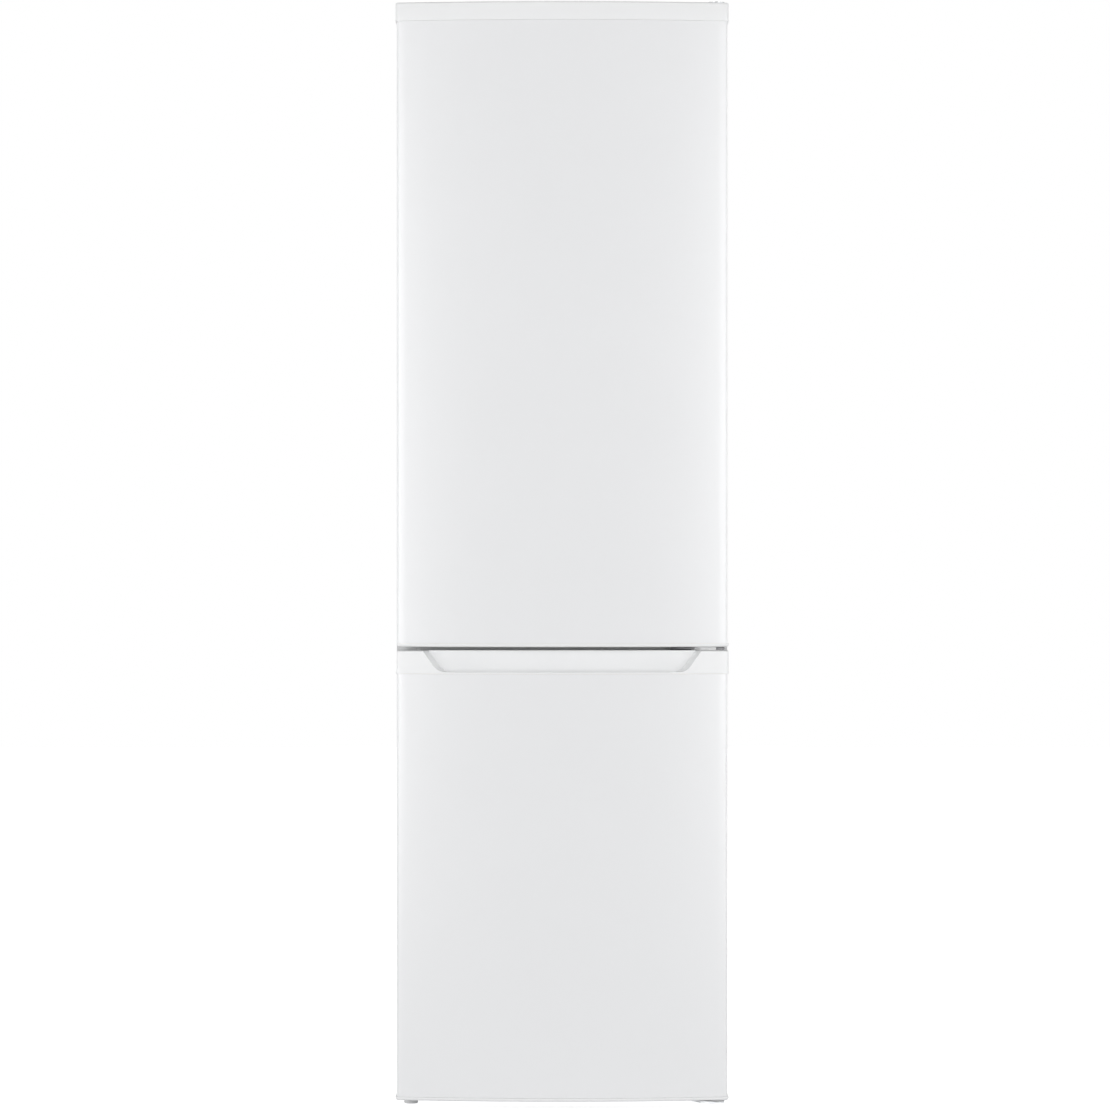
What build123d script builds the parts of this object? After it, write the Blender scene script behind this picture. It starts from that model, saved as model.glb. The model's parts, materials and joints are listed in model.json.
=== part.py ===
from build123d import *
import os
from math import radians, sqrt, tan

os.makedirs("parts", exist_ok=True)

# A free-standing refrigerator with its freezer below: two bowed doors hung on the
# right, a foamed cabinet with two formed liners, drawers, shelves, and the
# compressor, condenser and rollers at the back. All sizes are in millimetres.
# X runs to the right, the doors face -Y, and Z runs up from the floor.

# ---- Overall sizes ---------------------------------------------------------------
width = 540.0  # cabinet and door end caps
height = 1800.0  # floor to the top of the hinge cover
depth = 600.0  # crown of the doors to the wall spacers behind the condenser

# ---- Doors -----------------------------------------------------------------------
door_bow = 22.0  # the crown of a door stands this far ahead of its side edges
door_edge = 48.0  # thickness of a door at its side edges
door_corner = 6.0  # radius of the upright front corners
cap_step = 2.0  # the end caps are this much wider than the sheet, on each side
skin_step = 0.6  # the sheet lies this far behind the front of the end caps
return_lip = 14.0  # the sheet is folded this far round the back of the door
door_lift = 17.0  # floor to the underside of the freezer door
split_level = 750.0  # floor to the middle of the wall between the compartments
door_gap = 6.0
gap_drop = 1.5  # middle of the gap between the doors below the split level
door_top_drop = 5.0  # hinge cover down to the top of the upper door
top_cap_height = 30.0
handle_cap_height = 37.5
low_cap_height = 5.5
cap_round = 3.0
low_cap_bevel = 3.5
gasket_gap = 12.0  # back of a door to the face of the cabinet

# ---- Walls, clearances and fits ----------------------------------------------------
sheet = 0.8  # steel sheet
moulding = 2.5  # wall of the moulded caps and covers
liner_wall = 1.5
door_liner_wall = 1.2
plate = 3.0  # hinge plates
seat = 0.2  # between pieces that lie on each other
running_gap = 0.3  # between pieces that move past each other
shaft_fit = 0.05  # radial clearance of a pin in its bush
bevel_step = 2 - sqrt(2)  # a bevel shrinks this much for every millimetre of inset

# ---- Cabinet -----------------------------------------------------------------------
foot_gap = 13.0  # floor to the underside of the base plate
hinge_cover_height = 10.0
cover_height = 14.0  # skirt of the moulded cabinet top
flange_width = 32.0  # steel face of the cabinet beside each door
flange_return = 8.0
rear_return = 12.0
side_wall_fridge = 42.0
side_wall_freezer = 60.0
rear_wall_fridge = 50.0
rear_wall_freezer = 60.0
ceiling_wall = 48.0
floor_wall = 67.0
divider = 76.0  # wall between the two compartments
liner_bevel = 9.0
niche_depth = 198.0  # machine compartment, from the back
niche_height = 212.0  # above the base plate
niche_wall = 45.0
wall_spacing = 32.0  # back sheet to the wall behind the refrigerator

# ---- Hinges ------------------------------------------------------------------------
hinge_inset = 19.0  # side of the door to the hinge axis
hinge_depth = 22.0  # back of the door to the hinge axis
pin_radius = 4.0
pin_length = 16.0
bush_radius = 7.0
bush_flange_radius = 10.0
bush_flange = 1.0
hinge_nose = 13.0  # radius of a bracket round its pin
top_arm_plate = 2.5

# ---- Values worked out from the sizes above ------------------------------------------
half = width / 2
crown_y = -depth / 2
bow_radius = (half**2 + door_bow**2) / (2 * door_bow)
door_back_y = crown_y + door_bow + door_edge
skin_back_y = door_back_y - door_liner_wall
face_y = door_back_y + gasket_gap
back_y = depth / 2 - wall_spacing
cabinet_depth = back_y - face_y

base_z = foot_gap
plate_top_z = base_z + sheet
cabinet_top_z = height - hinge_cover_height
side_top_z = cabinet_top_z - cover_height
gap_level = split_level - gap_drop
freezer_door_top_z = gap_level - door_gap / 2
fridge_door_low_z = gap_level + door_gap / 2
fridge_door_top_z = height - door_top_drop
top_cap_z = fridge_door_top_z - top_cap_height
handle_cap_z = freezer_door_top_z - handle_cap_height

fridge_half = half - side_wall_fridge
fridge_back_y = back_y - rear_wall_fridge
fridge_floor_z = split_level + divider / 2
fridge_ceiling_z = cabinet_top_z - ceiling_wall
freezer_half = half - side_wall_freezer
freezer_back_y = back_y - rear_wall_freezer
freezer_floor_z = base_z + floor_wall
freezer_ceiling_z = split_level - divider / 2
niche_front_y = back_y - niche_depth
niche_top_z = base_z + niche_height
step_y = niche_front_y - niche_wall
step_z = niche_top_z + niche_wall

hinge_x = half - hinge_inset
hinge_y = door_back_y - hinge_depth

pieces = {}  # every finished piece by its name


# ---- Shapes that are used more than once ------------------------------------------------
def block(low, high, mode=Mode.ADD):
    """A box between two opposite corners."""
    size = [top - bottom for bottom, top in zip(low, high)]
    with Locations(tuple(low)):
        Box(*size, align=(Align.MIN, Align.MIN, Align.MIN), mode=mode)


def upright_cylinder(x, y, low, high, radius, mode=Mode.ADD):
    """A cylinder round an upright axis between two levels."""
    with Locations((x, y, low)):
        Cylinder(radius, high - low, align=(Align.CENTER, Align.CENTER, Align.MIN), mode=mode)


def upright_prism(x, y, low, high, reach, sides, mode=Mode.ADD):
    """A prism with flat sides at a given reach from an upright axis."""
    with BuildSketch(Plane.XY.offset(low)) as outline:
        with Locations((x, y)):
            RegularPolygon(reach, sides, major_radius=False, rotation=180 / sides)
    extrude(outline.sketch, amount=high - low, mode=mode)


def bevelled(length, breadth, bevel, mode=Mode.ADD):
    """A rectangle with its corners cut off, in the sketch that is being drawn."""
    with BuildSketch(mode=Mode.PRIVATE) as outline:
        Rectangle(length, breadth)
        chamfer(outline.vertices(), bevel)
    add(outline.sketch, mode=mode)


def door_plan(level, inset, front_inset, back, corner=door_corner):
    """Plan of a door: a bowed front, straight sides and a flat back."""
    side = half - inset
    radius = bow_radius - front_inset
    crown = crown_y + front_inset
    edge = crown + radius - sqrt(radius**2 - side**2)
    with BuildSketch(Plane.XY.offset(level)) as plan:
        with BuildLine():
            bow = ThreePointArc((-side, edge), (0, crown), (side, edge))
            Polyline(bow @ 1, (side, back), (-side, back), bow @ 0)
        make_face()
        fillet(plan.vertices().group_by(Axis.Y)[0], corner)
    return plan.sketch


def tub_plug(half_width, front, back, floor, ceiling, bevel):
    """A solid the shape of a compartment, its edges bevelled except at the mouth."""
    with BuildPart() as plug:
        block((-half_width, front, floor), (half_width, back, ceiling))
        chamfer(plug.edges().filter_by(lambda edge: edge.center().Y > front + 1), bevel)
    return plug.part


def mouth_flange(half_width, low, high, flange_half, flange_low, flange_high):
    """The flat flange of a liner round the mouth of its compartment."""
    with BuildSketch(Plane.XZ.offset(-face_y)) as ring:
        with Locations((0, (flange_low + flange_high) / 2)):
            Rectangle(2 * flange_half, flange_high - flange_low)
        with Locations((0, (low + high) / 2)):
            bevelled(2 * half_width, high - low, liner_bevel, Mode.SUBTRACT)
    extrude(ring.sketch, amount=-liner_wall)


# ---- Doors ---------------------------------------------------------------------------------
grip_top_half = 226.0  # half width of the grip recess at the top of the handle cap
grip_low_half = 201.0  # and at its lower edge
grip_low_rise = 2.5  # lower edge of the recess above the underside of the cap
grip_depth = 34.0  # crown of the door to the flat floor of the recess
grip_side_run = 9.0  # the sides of the recess close in this much towards its floor
grip_corner = 24.0
trough_corner = 8.0
trough_half = 178.0  # finger trough behind the lip of the recess
trough_depth = 14.0
trough_lip = 14.0  # crown of the door to the front of the trough
inset_depth = 3.0  # the caps stand back this far at the handle side
inset_flare = 10.0

dyke_clear = 16.0  # ring on the back of the upper door to the compartment around it
dyke_height = 45.0
dyke_width = 26.0
pan_rise = 8.0  # middle of the upper door's liner above its flange
dyke_bevel = 14.0
dyke_draft = 3.0
plug_draft = 6.0
crest_bevel = 5.0
plug_clear = 18.0  # raised back of the freezer door to its compartment
plug_height = 30.0
liner_rim = 4.0  # edge of the door to the edge of its liner

gasket_inset = 10.0
gasket_top_inset = 20.0
gasket_swing = 5.0  # seal outside the hinge axis, short enough to turn clear of the cabinet
gasket_layers = [(16.0, 2.5), (7.0, 1.6), (12.0, 2.2), (7.0, 1.4), (13.0, 4.0)]  # width, depth

grip_low_z = handle_cap_z + grip_low_rise
grip_floor_y = crown_y + grip_depth
trough_front_y = crown_y + trough_lip
dyke_half = fridge_half - dyke_clear
pan_half = dyke_half - dyke_width
dyke_low_z = fridge_floor_z + dyke_clear
dyke_high_z = fridge_ceiling_z - dyke_clear
dyke_crest_y = door_back_y + dyke_height
pan_y = door_back_y + pan_rise


def door_skin(low, high):
    """The painted sheet of a door, folded round its sides on to the back."""
    inner = cap_step + sheet
    with BuildPart() as skin:
        extrude(door_plan(low, cap_step, skin_step, skin_back_y), amount=high - low)
        hollow = door_plan(low, inner, skin_step + sheet, skin_back_y - sheet, door_corner - sheet)
        extrude(hollow, amount=high - low, mode=Mode.SUBTRACT)
        mouth = half - cap_step - return_lip
        block((-mouth, skin_back_y - 2 * sheet, low), (mouth, skin_back_y, high), Mode.SUBTRACT)
    return skin.part


def hinge_boss(low):
    """A boss for a hinge bush, with a hexagonal bore that keeps the bush from turning."""
    upright_prism(hinge_x, hinge_y, low, low + pin_length, bush_radius + moulding, 8)
    bore = bush_radius + shaft_fit
    upright_prism(hinge_x, hinge_y, low, low + pin_length, bore, 6, Mode.SUBTRACT)


def end_cap(low, high, closed_top):
    """A moulded cap for one end of a door, with a boss for the hinge bush."""
    rim = -1 if closed_top else 0
    hollow_z = low if closed_top else low + moulding
    boss_z = high - pin_length if closed_top else low
    inner_corner = door_corner - moulding
    ease = fillet if closed_top else chamfer
    with BuildPart() as cap:
        extrude(door_plan(low, 0, 0, skin_back_y), amount=high - low)
        rim_edges = cap.edges().group_by(Axis.Z)[rim].sort_by(Axis.Y)[:-1]
        ease(rim_edges, cap_round if closed_top else low_cap_bevel)
        hollow = door_plan(hollow_z, moulding, moulding, skin_back_y - moulding, inner_corner)
        extrude(hollow, amount=high - low - moulding, mode=Mode.SUBTRACT)
        hinge_boss(boss_z)
    return cap.part


def side_step(low, flare_top, high):
    """The wedge cut away at the handle side of a cap: full depth above the flare."""
    with BuildPart() as wedge:
        with BuildSketch(Plane.XZ.offset(-crown_y)):
            with BuildLine():
                Polyline(
                    (-half - 1, low),
                    (-half, low),
                    (-half + inset_depth, flare_top),
                    (-half + inset_depth, high),
                    (-half - 1, high),
                    close=True,
                )
            make_face()
        extrude(amount=-door_edge - door_bow)
    return wedge.part


def grip_recess(grow):
    """The grip recess as a solid, larger by grow on every side."""
    lip_y = crown_y + door_bow * (grip_low_half / half) ** 2
    slope = grip_side_run / (grip_floor_y - lip_y)
    with BuildPart() as recess:
        for y in (crown_y - moulding, grip_floor_y + grow):
            closing = slope * (y - lip_y) - grow
            overrun = moulding
            with BuildSketch(Plane.XZ.offset(-y)) as outline:
                with BuildLine():
                    Polyline(
                        (-grip_top_half - overrun + closing, freezer_door_top_z + overrun),
                        (-grip_low_half + closing, grip_low_z - grow),
                        (grip_low_half - closing, grip_low_z - grow),
                        (grip_top_half + overrun - closing, freezer_door_top_z + overrun),
                        close=True,
                    )
                make_face()
                fillet(outline.vertices().group_by(Axis.Y)[0], grip_corner)
        loft()
    return recess.part


def finger_trough(grow):
    """The trough that the fingers reach down into, behind the lip of the recess."""
    with BuildPart() as trough:
        with BuildSketch(Plane.XY.offset(grip_low_z - trough_depth - grow)):
            with Locations((0, (trough_front_y + grip_floor_y) / 2)):
                RectangleRounded(
                    2 * (trough_half + grow), grip_floor_y - trough_front_y + 2 * grow, trough_corner
                )
        extrude(amount=trough_depth + grow)
    return trough.part


def bush(face, length, flange, side):
    """A flanged hinge bush, its barrel running up (side 1) or down from the door's face."""
    flange_z = face - flange if side > 0 else face
    barrel_z = face if side > 0 else face - length
    with BuildPart() as ring:
        upright_prism(hinge_x, hinge_y, flange_z, flange_z + flange, bush_flange_radius, 8)
        upright_prism(hinge_x, hinge_y, barrel_z, barrel_z + length, bush_radius, 6)
        upright_cylinder(
            hinge_x,
            hinge_y,
            min(flange_z, barrel_z),
            max(flange_z + flange, barrel_z + length),
            pin_radius + shaft_fit,
            Mode.SUBTRACT,
        )
    return ring.part


def gasket(low, high):
    """A door seal: base, bellows and magnet pocket, stepped out from the door."""
    centre = (low + high) / 2
    middle = hinge_x + gasket_swing - gasket_layers[0][0] / 2
    rise = (high - low - gasket_layers[0][0]) / 2
    with BuildPart() as seal:
        y = door_back_y
        for layer_width, layer_depth in gasket_layers:
            with BuildSketch(Plane.XZ.offset(-y)) as ring:
                with Locations((0, centre)):
                    Rectangle(2 * middle + layer_width, 2 * rise + layer_width)
                    Rectangle(2 * middle - layer_width, 2 * rise - layer_width, mode=Mode.SUBTRACT)
            extrude(ring.sketch, amount=-layer_depth)
            y += layer_depth
    return seal.part


def tapered_plug(half_width, low, high, base_y, top_y, bevel, draft):
    """A plate standing on a plane towards the back, its corners cut, narrowing as it goes."""
    with BuildPart() as plug:
        with BuildSketch(Plane.XZ.offset(-base_y)) as outline:
            with Locations((0, (low + high) / 2)):
                bevelled(2 * half_width, high - low, bevel)
        extrude(outline.sketch, amount=-(top_y - base_y), taper=draft)
    return plug.part


# ---- Upper door ------------------------------------------------------------------------------
fridge_skin_low_z = fridge_door_low_z + low_cap_height + seat
fridge_skin_high_z = top_cap_z - seat
pieces["fridge_door_panel"] = door_skin(fridge_skin_low_z, fridge_skin_high_z)
pieces["fridge_door_top_cap"] = end_cap(top_cap_z, fridge_door_top_z, True)

with BuildPart() as fridge_door_bottom_cap:
    add(end_cap(fridge_door_low_z, fridge_door_low_z + low_cap_height, False))
    step_low_z = fridge_door_low_z - low_cap_height
    add(side_step(step_low_z, fridge_door_low_z, fridge_skin_low_z), mode=Mode.SUBTRACT)
pieces["fridge_door_bottom_cap"] = fridge_door_bottom_cap.part


foam_back_y = skin_back_y - moulding - seat


def door_foam(low, high, pockets):
    """The foam slab of a door, with a pocket round each hinge boss."""
    inset = cap_step + sheet + seat
    reach = bush_radius + moulding + seat
    with BuildPart() as slab:
        outline = door_plan(low, inset, moulding + 2 * sheet, foam_back_y)
        extrude(outline, amount=high - low)
        for pocket_low, pocket_high in pockets:
            block(
                (hinge_x - reach, hinge_y - reach, pocket_low),
                (half, hinge_y + reach, pocket_high),
                Mode.SUBTRACT,
            )
    return slab.part


def dyke(inset, base_y):
    """The ring on the back of the upper door as a solid, smaller by inset on every face."""
    low = dyke_low_z + inset
    high = dyke_high_z - inset
    bevel = dyke_bevel - bevel_step * inset
    with BuildPart() as ring:
        top_y = dyke_crest_y - inset
        add(tapered_plug(dyke_half - inset, low, high, base_y, top_y, bevel, dyke_draft))
        with BuildSketch(Plane.XZ.offset(-dyke_crest_y)) as mouth:
            with Locations((0, (low + high) / 2)):
                mouth_height = high - low - 2 * dyke_width + 4 * inset
                bevelled(2 * (pan_half + inset), mouth_height, dyke_bevel)
        extrude(mouth.sketch, amount=dyke_crest_y - pan_y + inset, mode=Mode.SUBTRACT)
        chamfer(ring.faces().sort_by(Axis.Y)[-1].edges(), crest_bevel - bevel_step * inset)
    return ring.part


def liner_sheet(low, high):
    """The flat flange of a door liner."""
    reach = half - liner_rim
    block((-reach, skin_back_y, low + liner_rim), (reach, door_back_y, high - liner_rim))


bottle_bin_rise = 41.5  # lower end of the ring to the underside of the bottle bin
bin_shares = [0.40, 0.72]  # undersides of the other bins, as shares of the ring's height
bin_heights = [112.0, 84.0, 78.0]
bin_names = ["bottle_bin", "middle_door_bin", "upper_door_bin"]
bin_depth = 100.0
bin_clear = 5.0  # side of a bin to the ring around it
bin_wall = 2.2
bin_rim_rise = 46.0  # underside of a bin to the rims that hang on the lugs
bin_corner = 12.0
bin_rim_clear = 0.5  # rim of a bin to the ring
lug_length = 30.0
lug_height = 10.0
bin_half = pan_half - bin_clear
bin_front_y = pan_y + 2.0
bin_span = dyke_high_z - dyke_low_z
bin_floors = [dyke_low_z + bottle_bin_rise]
bin_floors += [dyke_low_z + share * bin_span for share in bin_shares]

with BuildPart() as fridge_door_liner:
    liner_sheet(fridge_door_low_z, fridge_door_top_z)
    add(dyke(0, skin_back_y))
    add(dyke(door_liner_wall, skin_back_y - door_liner_wall), mode=Mode.SUBTRACT)
    for bin_floor in bin_floors:
        lug_z = bin_floor + bin_rim_rise - seat
        for side in (-1, 1):
            outer = side * (pan_half + door_liner_wall / 2)
            inner = side * (bin_half + seat)
            block(
                (min(outer, inner), bin_front_y, lug_z - lug_height),
                (max(outer, inner), bin_front_y + lug_length, lug_z),
            )
pieces["fridge_door_liner"] = fridge_door_liner.part

with BuildPart() as fridge_door_foam:
    foam_low_z = fridge_door_low_z + moulding + seat
    foam_high_z = fridge_door_top_z - moulding - seat
    boss_reach = pin_length + seat
    pockets = [
        (fridge_door_low_z, fridge_door_low_z + boss_reach),
        (fridge_door_top_z - boss_reach, fridge_door_top_z),
    ]
    add(door_foam(foam_low_z, foam_high_z, pockets))
    add(dyke(door_liner_wall + seat, foam_back_y - 1))
pieces["fridge_door_foam"] = fridge_door_foam.part

pieces["fridge_door_gasket"] = gasket(
    fridge_door_low_z + gasket_inset, fridge_door_top_z - gasket_top_inset
)


def door_bin(floor, bin_height):
    """A moulded bin: a sloping front wall, rounded corners, an open top and two side rims."""
    back = bin_front_y + bin_depth
    with BuildPart() as tub:
        with BuildSketch(Plane.YZ.offset(-bin_half)):
            with BuildLine():
                Polyline(
                    (bin_front_y, floor),
                    (back - bin_corner, floor),
                    (back, floor + bin_height),
                    (bin_front_y, floor + bin_height),
                    close=True,
                )
            make_face()
        extrude(amount=2 * bin_half)
        outer_edges = tub.faces().sort_by(Axis.Y)[-1].edges()
        chamfer(outer_edges.filter_by(Axis.X, reverse=True), bin_corner)
        offset(amount=-bin_wall, openings=tub.faces().sort_by(Axis.Z)[-1])
        for side in (-1, 1):
            rim = side * (pan_half - bin_rim_clear)
            wall = side * (bin_half - bin_wall / 2)
            block(
                (min(rim, wall), bin_front_y, floor + bin_rim_rise),
                (max(rim, wall), bin_front_y + lug_length, floor + bin_rim_rise + bin_wall),
            )
    return tub.part


for bin_name, bin_floor, bin_height in zip(bin_names, bin_floors, bin_heights):
    pieces[bin_name] = door_bin(bin_floor, bin_height)

mid_bush_flange = (door_gap - plate) / 2 - running_gap
with BuildPart() as fridge_door_bushings:
    add(bush(fridge_door_low_z, pin_length, mid_bush_flange, 1))
    add(bush(fridge_door_top_z, pin_length, bush_flange, -1))
pieces["fridge_door_bushings"] = fridge_door_bushings.part


# ---- Freezer door ------------------------------------------------------------------------------
plug_half = freezer_half - plug_clear
plug_low_z = freezer_floor_z + plug_clear
plug_high_z = freezer_ceiling_z - plug_clear
plug_top_y = door_back_y + plug_height
freezer_skin_low_z = door_lift + low_cap_height + seat
pieces["freezer_door_panel"] = door_skin(freezer_skin_low_z, handle_cap_z - seat)
pieces["freezer_door_bottom_cap"] = end_cap(door_lift, door_lift + low_cap_height, False)

with BuildPart() as handle_hollow:
    inner_corner = door_corner - moulding
    hollow_plan = door_plan(handle_cap_z, moulding, moulding, skin_back_y - moulding, inner_corner)
    extrude(hollow_plan, amount=handle_cap_height - moulding)
    add(grip_recess(moulding), mode=Mode.SUBTRACT)
    add(finger_trough(moulding), mode=Mode.SUBTRACT)

with BuildPart() as freezer_handle_cap:
    extrude(door_plan(handle_cap_z, 0, 0, skin_back_y), amount=handle_cap_height)
    fillet(freezer_handle_cap.edges().group_by(Axis.Z)[-1].sort_by(Axis.Y)[:-1], cap_round)
    add(finger_trough(moulding))
    add(handle_hollow.part, mode=Mode.SUBTRACT)
    add(grip_recess(0), mode=Mode.SUBTRACT)
    add(finger_trough(0), mode=Mode.SUBTRACT)
    flare_top_z = handle_cap_z + inset_flare
    add(side_step(handle_cap_z, flare_top_z, freezer_door_top_z), mode=Mode.SUBTRACT)
    hinge_boss(freezer_door_top_z - pin_length)
pieces["freezer_handle_cap"] = freezer_handle_cap.part


def raised_back(inset, base_y):
    """The raised middle of the freezer door's back as a solid."""
    low = plug_low_z + inset
    high = plug_high_z - inset
    bevel = dyke_bevel - bevel_step * inset
    with BuildPart() as back:
        top_y = plug_top_y - inset
        add(tapered_plug(plug_half - inset, low, high, base_y, top_y, bevel, plug_draft))
        chamfer(back.faces().sort_by(Axis.Y)[-1].edges(), crest_bevel - bevel_step * inset)
    return back.part


with BuildPart() as freezer_door_liner:
    liner_sheet(door_lift, freezer_door_top_z)
    add(raised_back(0, skin_back_y))
    add(raised_back(door_liner_wall, skin_back_y - door_liner_wall), mode=Mode.SUBTRACT)
pieces["freezer_door_liner"] = freezer_door_liner.part

with BuildPart() as freezer_door_foam:
    pockets = [(door_lift, door_lift + boss_reach)]
    add(door_foam(door_lift + moulding + seat, handle_cap_z - seat, pockets))
    trough_low_z = grip_low_z - trough_depth - moulding - seat
    trough_reach = trough_half + moulding + seat
    block(
        (-trough_reach, trough_front_y - moulding - seat, trough_low_z),
        (trough_reach, grip_floor_y + moulding + seat, handle_cap_z),
        Mode.SUBTRACT,
    )
    add(raised_back(door_liner_wall + seat, foam_back_y - 1))
pieces["freezer_door_foam"] = freezer_door_foam.part

pieces["freezer_door_gasket"] = gasket(door_lift + gasket_inset, freezer_door_top_z - gasket_inset)

low_bush_flange = door_lift - foot_gap - running_gap
with BuildPart() as freezer_door_bushings:
    add(bush(door_lift, pin_length, low_bush_flange, 1))
    add(bush(freezer_door_top_z, pin_length, mid_bush_flange, -1))
pieces["freezer_door_bushings"] = freezer_door_bushings.part


# ---- Cabinet shell -----------------------------------------------------------------------------
fridge_lip = 10.0  # flange of the upper liner beyond its mouth
side_height = side_top_z - base_z
inner_half = half - sheet
rear_half = half - rear_return - 2 * seat
flange_half = half - flange_width - seat
fridge_flange_low_z = fridge_floor_z - fridge_lip
fridge_flange_high_z = fridge_ceiling_z + fridge_lip
freezer_flange_low_z = freezer_floor_z - fridge_lip
freezer_flange_high_z = freezer_ceiling_z + fridge_lip

with BuildPart() as left_side_panel:
    with BuildSketch(Plane.XY.offset(base_z)):
        with Locations((-half, face_y)):
            Rectangle(sheet, cabinet_depth, align=(Align.MIN, Align.MIN))
            Rectangle(flange_width, sheet, align=(Align.MIN, Align.MIN))
        with Locations((-half + flange_width, face_y)):
            Rectangle(sheet, flange_return, align=(Align.MAX, Align.MIN))
        with Locations((-half, back_y)):
            Rectangle(rear_return, sheet, align=(Align.MIN, Align.MAX))
    extrude(amount=side_height)
pieces["left_side_panel"] = left_side_panel.part

with BuildPart() as right_side_panel:
    add(mirror(left_side_panel.part, about=Plane.YZ, mode=Mode.PRIVATE))
pieces["right_side_panel"] = right_side_panel.part


def crossmember(low, high):
    """A steel channel between the side flanges: a face and two returns."""
    with BuildPart() as rail:
        with BuildSketch(Plane.YZ.offset(-flange_half)):
            with Locations((face_y, low)):
                Rectangle(sheet, high - low, align=(Align.MIN, Align.MIN))
                Rectangle(flange_return, sheet, align=(Align.MIN, Align.MIN))
            with Locations((face_y, high)):
                Rectangle(flange_return, sheet, align=(Align.MIN, Align.MAX))
        extrude(amount=2 * flange_half)
    return rail.part


pieces["top_crossmember"] = crossmember(fridge_flange_high_z + seat, side_top_z)
pieces["centre_crossmember"] = crossmember(freezer_flange_high_z + seat, fridge_flange_low_z - seat)
pieces["bottom_crossmember"] = crossmember(plate_top_z + seat, freezer_flange_low_z - seat)

with BuildPart() as top_cover:
    block((-half, face_y, side_top_z + seat), (half, back_y, cabinet_top_z))
    fillet(top_cover.edges().group_by(Axis.Z)[-1], cap_round)
    offset(amount=-moulding, openings=top_cover.faces().sort_by(Axis.Z)[0])
pieces["top_cover"] = top_cover.part

niche_skin_half = inner_half - seat
with BuildPart() as rear_panel:
    with BuildSketch(Plane.YZ.offset(-rear_half)):
        with Locations((back_y, niche_top_z)):
            Rectangle(sheet, side_top_z - niche_top_z, align=(Align.MAX, Align.MIN))
    extrude(amount=2 * rear_half)
    with BuildSketch(Plane.YZ.offset(-niche_skin_half)):
        with Locations((niche_front_y - sheet, niche_top_z)):
            Rectangle(niche_depth - rear_return, sheet, align=(Align.MIN, Align.MIN))
        with Locations((niche_front_y - sheet, plate_top_z + seat)):
            Rectangle(sheet, niche_top_z - plate_top_z, align=(Align.MIN, Align.MIN))
    extrude(amount=2 * niche_skin_half)
    block(
        (-rear_half, niche_front_y, niche_top_z),
        (rear_half, back_y, niche_top_z + sheet),
    )
pieces["rear_panel"] = rear_panel.part


# ---- Compartments ------------------------------------------------------------------------------
rib_depth = 10.0  # ribs on the side walls that carry the shelves
rib_height = 9.0
rib_front = 22.0  # front edge of a shelf to the front end of its ribs
rib_back = 12.0  # back edge of a shelf to the back end of its ribs
shelf_gap = 2.0  # shelf to the side walls
shelf_glass = 4.0
shelf_setback = 122.0  # face of the cabinet to the front edge of the shelves
shelf_back_gap = 14.0  # shelf to the back wall
shelf_count = 3
top_shelf_drop = 192.0  # ceiling to the top shelf, with room for the lamp housing
crisper_cover_rise = 186.0  # floor of the compartment to the underside of the crisper cover
crisper_setback = 106.0  # face of the cabinet to the front of the crisper
drawer_setback = 28.0  # face of the cabinet to the fronts of the freezer drawers
gutter_rise = 40.0  # crisper cover to the gutter in the back wall
gutter_fall = 26.0
gutter_depth = 7.0
gutter_height = 8.0

shelf_half = fridge_half - shelf_gap
shelf_front_y = face_y + shelf_setback
shelf_back_y = fridge_back_y - shelf_back_gap
crisper_cover_z = fridge_floor_z + crisper_cover_rise
shelf_pitch = (fridge_ceiling_z - top_shelf_drop - crisper_cover_z) / shelf_count
shelf_levels = [crisper_cover_z + shelf_pitch * (step + 1) for step in range(shelf_count)]
freezer_low_shelf_z = step_z + seat
freezer_high_shelf_z = (freezer_low_shelf_z + freezer_ceiling_z) / 2
freezer_shelf_half = freezer_half - shelf_gap
freezer_shelf_front_y = face_y + drawer_setback + 12.0
freezer_shelf_back_y = freezer_back_y - shelf_back_gap


def side_ribs(inner_half, front, back, level):
    """A pair of ribs on the side walls, their tops at the level given."""
    for side in (-1, 1):
        wall = side * inner_half
        crest = side * (inner_half - rib_depth)
        block((min(wall, crest), front, level - rib_height), (max(wall, crest), back, level))


with BuildPart() as fridge_liner:
    outer_half = fridge_half + liner_wall
    outer_low = fridge_floor_z - liner_wall
    outer_high = fridge_ceiling_z + liner_wall
    outer_back = fridge_back_y + liner_wall
    outer_bevel = liner_bevel + bevel_step * liner_wall
    add(tub_plug(outer_half, face_y, outer_back, outer_low, outer_high, outer_bevel))
    mouth_flange(
        fridge_half,
        fridge_floor_z,
        fridge_ceiling_z,
        flange_half,
        fridge_flange_low_z,
        fridge_flange_high_z,
    )
    add(
        tub_plug(
            fridge_half, face_y, fridge_back_y, fridge_floor_z, fridge_ceiling_z, liner_bevel
        ),
        mode=Mode.SUBTRACT,
    )
    for level in shelf_levels + [crisper_cover_z]:
        side_ribs(fridge_half, shelf_front_y + rib_front, shelf_back_y - rib_back, level)
    with BuildSketch(Plane.XZ.offset(-fridge_back_y)):
        gutter_z = crisper_cover_z + gutter_rise
        for side in (-1, 1):
            with BuildLine():
                Polyline(
                    (0, gutter_z),
                    (side * fridge_half, gutter_z + gutter_fall),
                    (side * fridge_half, gutter_z + gutter_fall + gutter_height),
                    (0, gutter_z + gutter_height),
                    close=True,
                )
            make_face()
    extrude(amount=gutter_depth)
pieces["fridge_liner"] = fridge_liner.part


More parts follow.
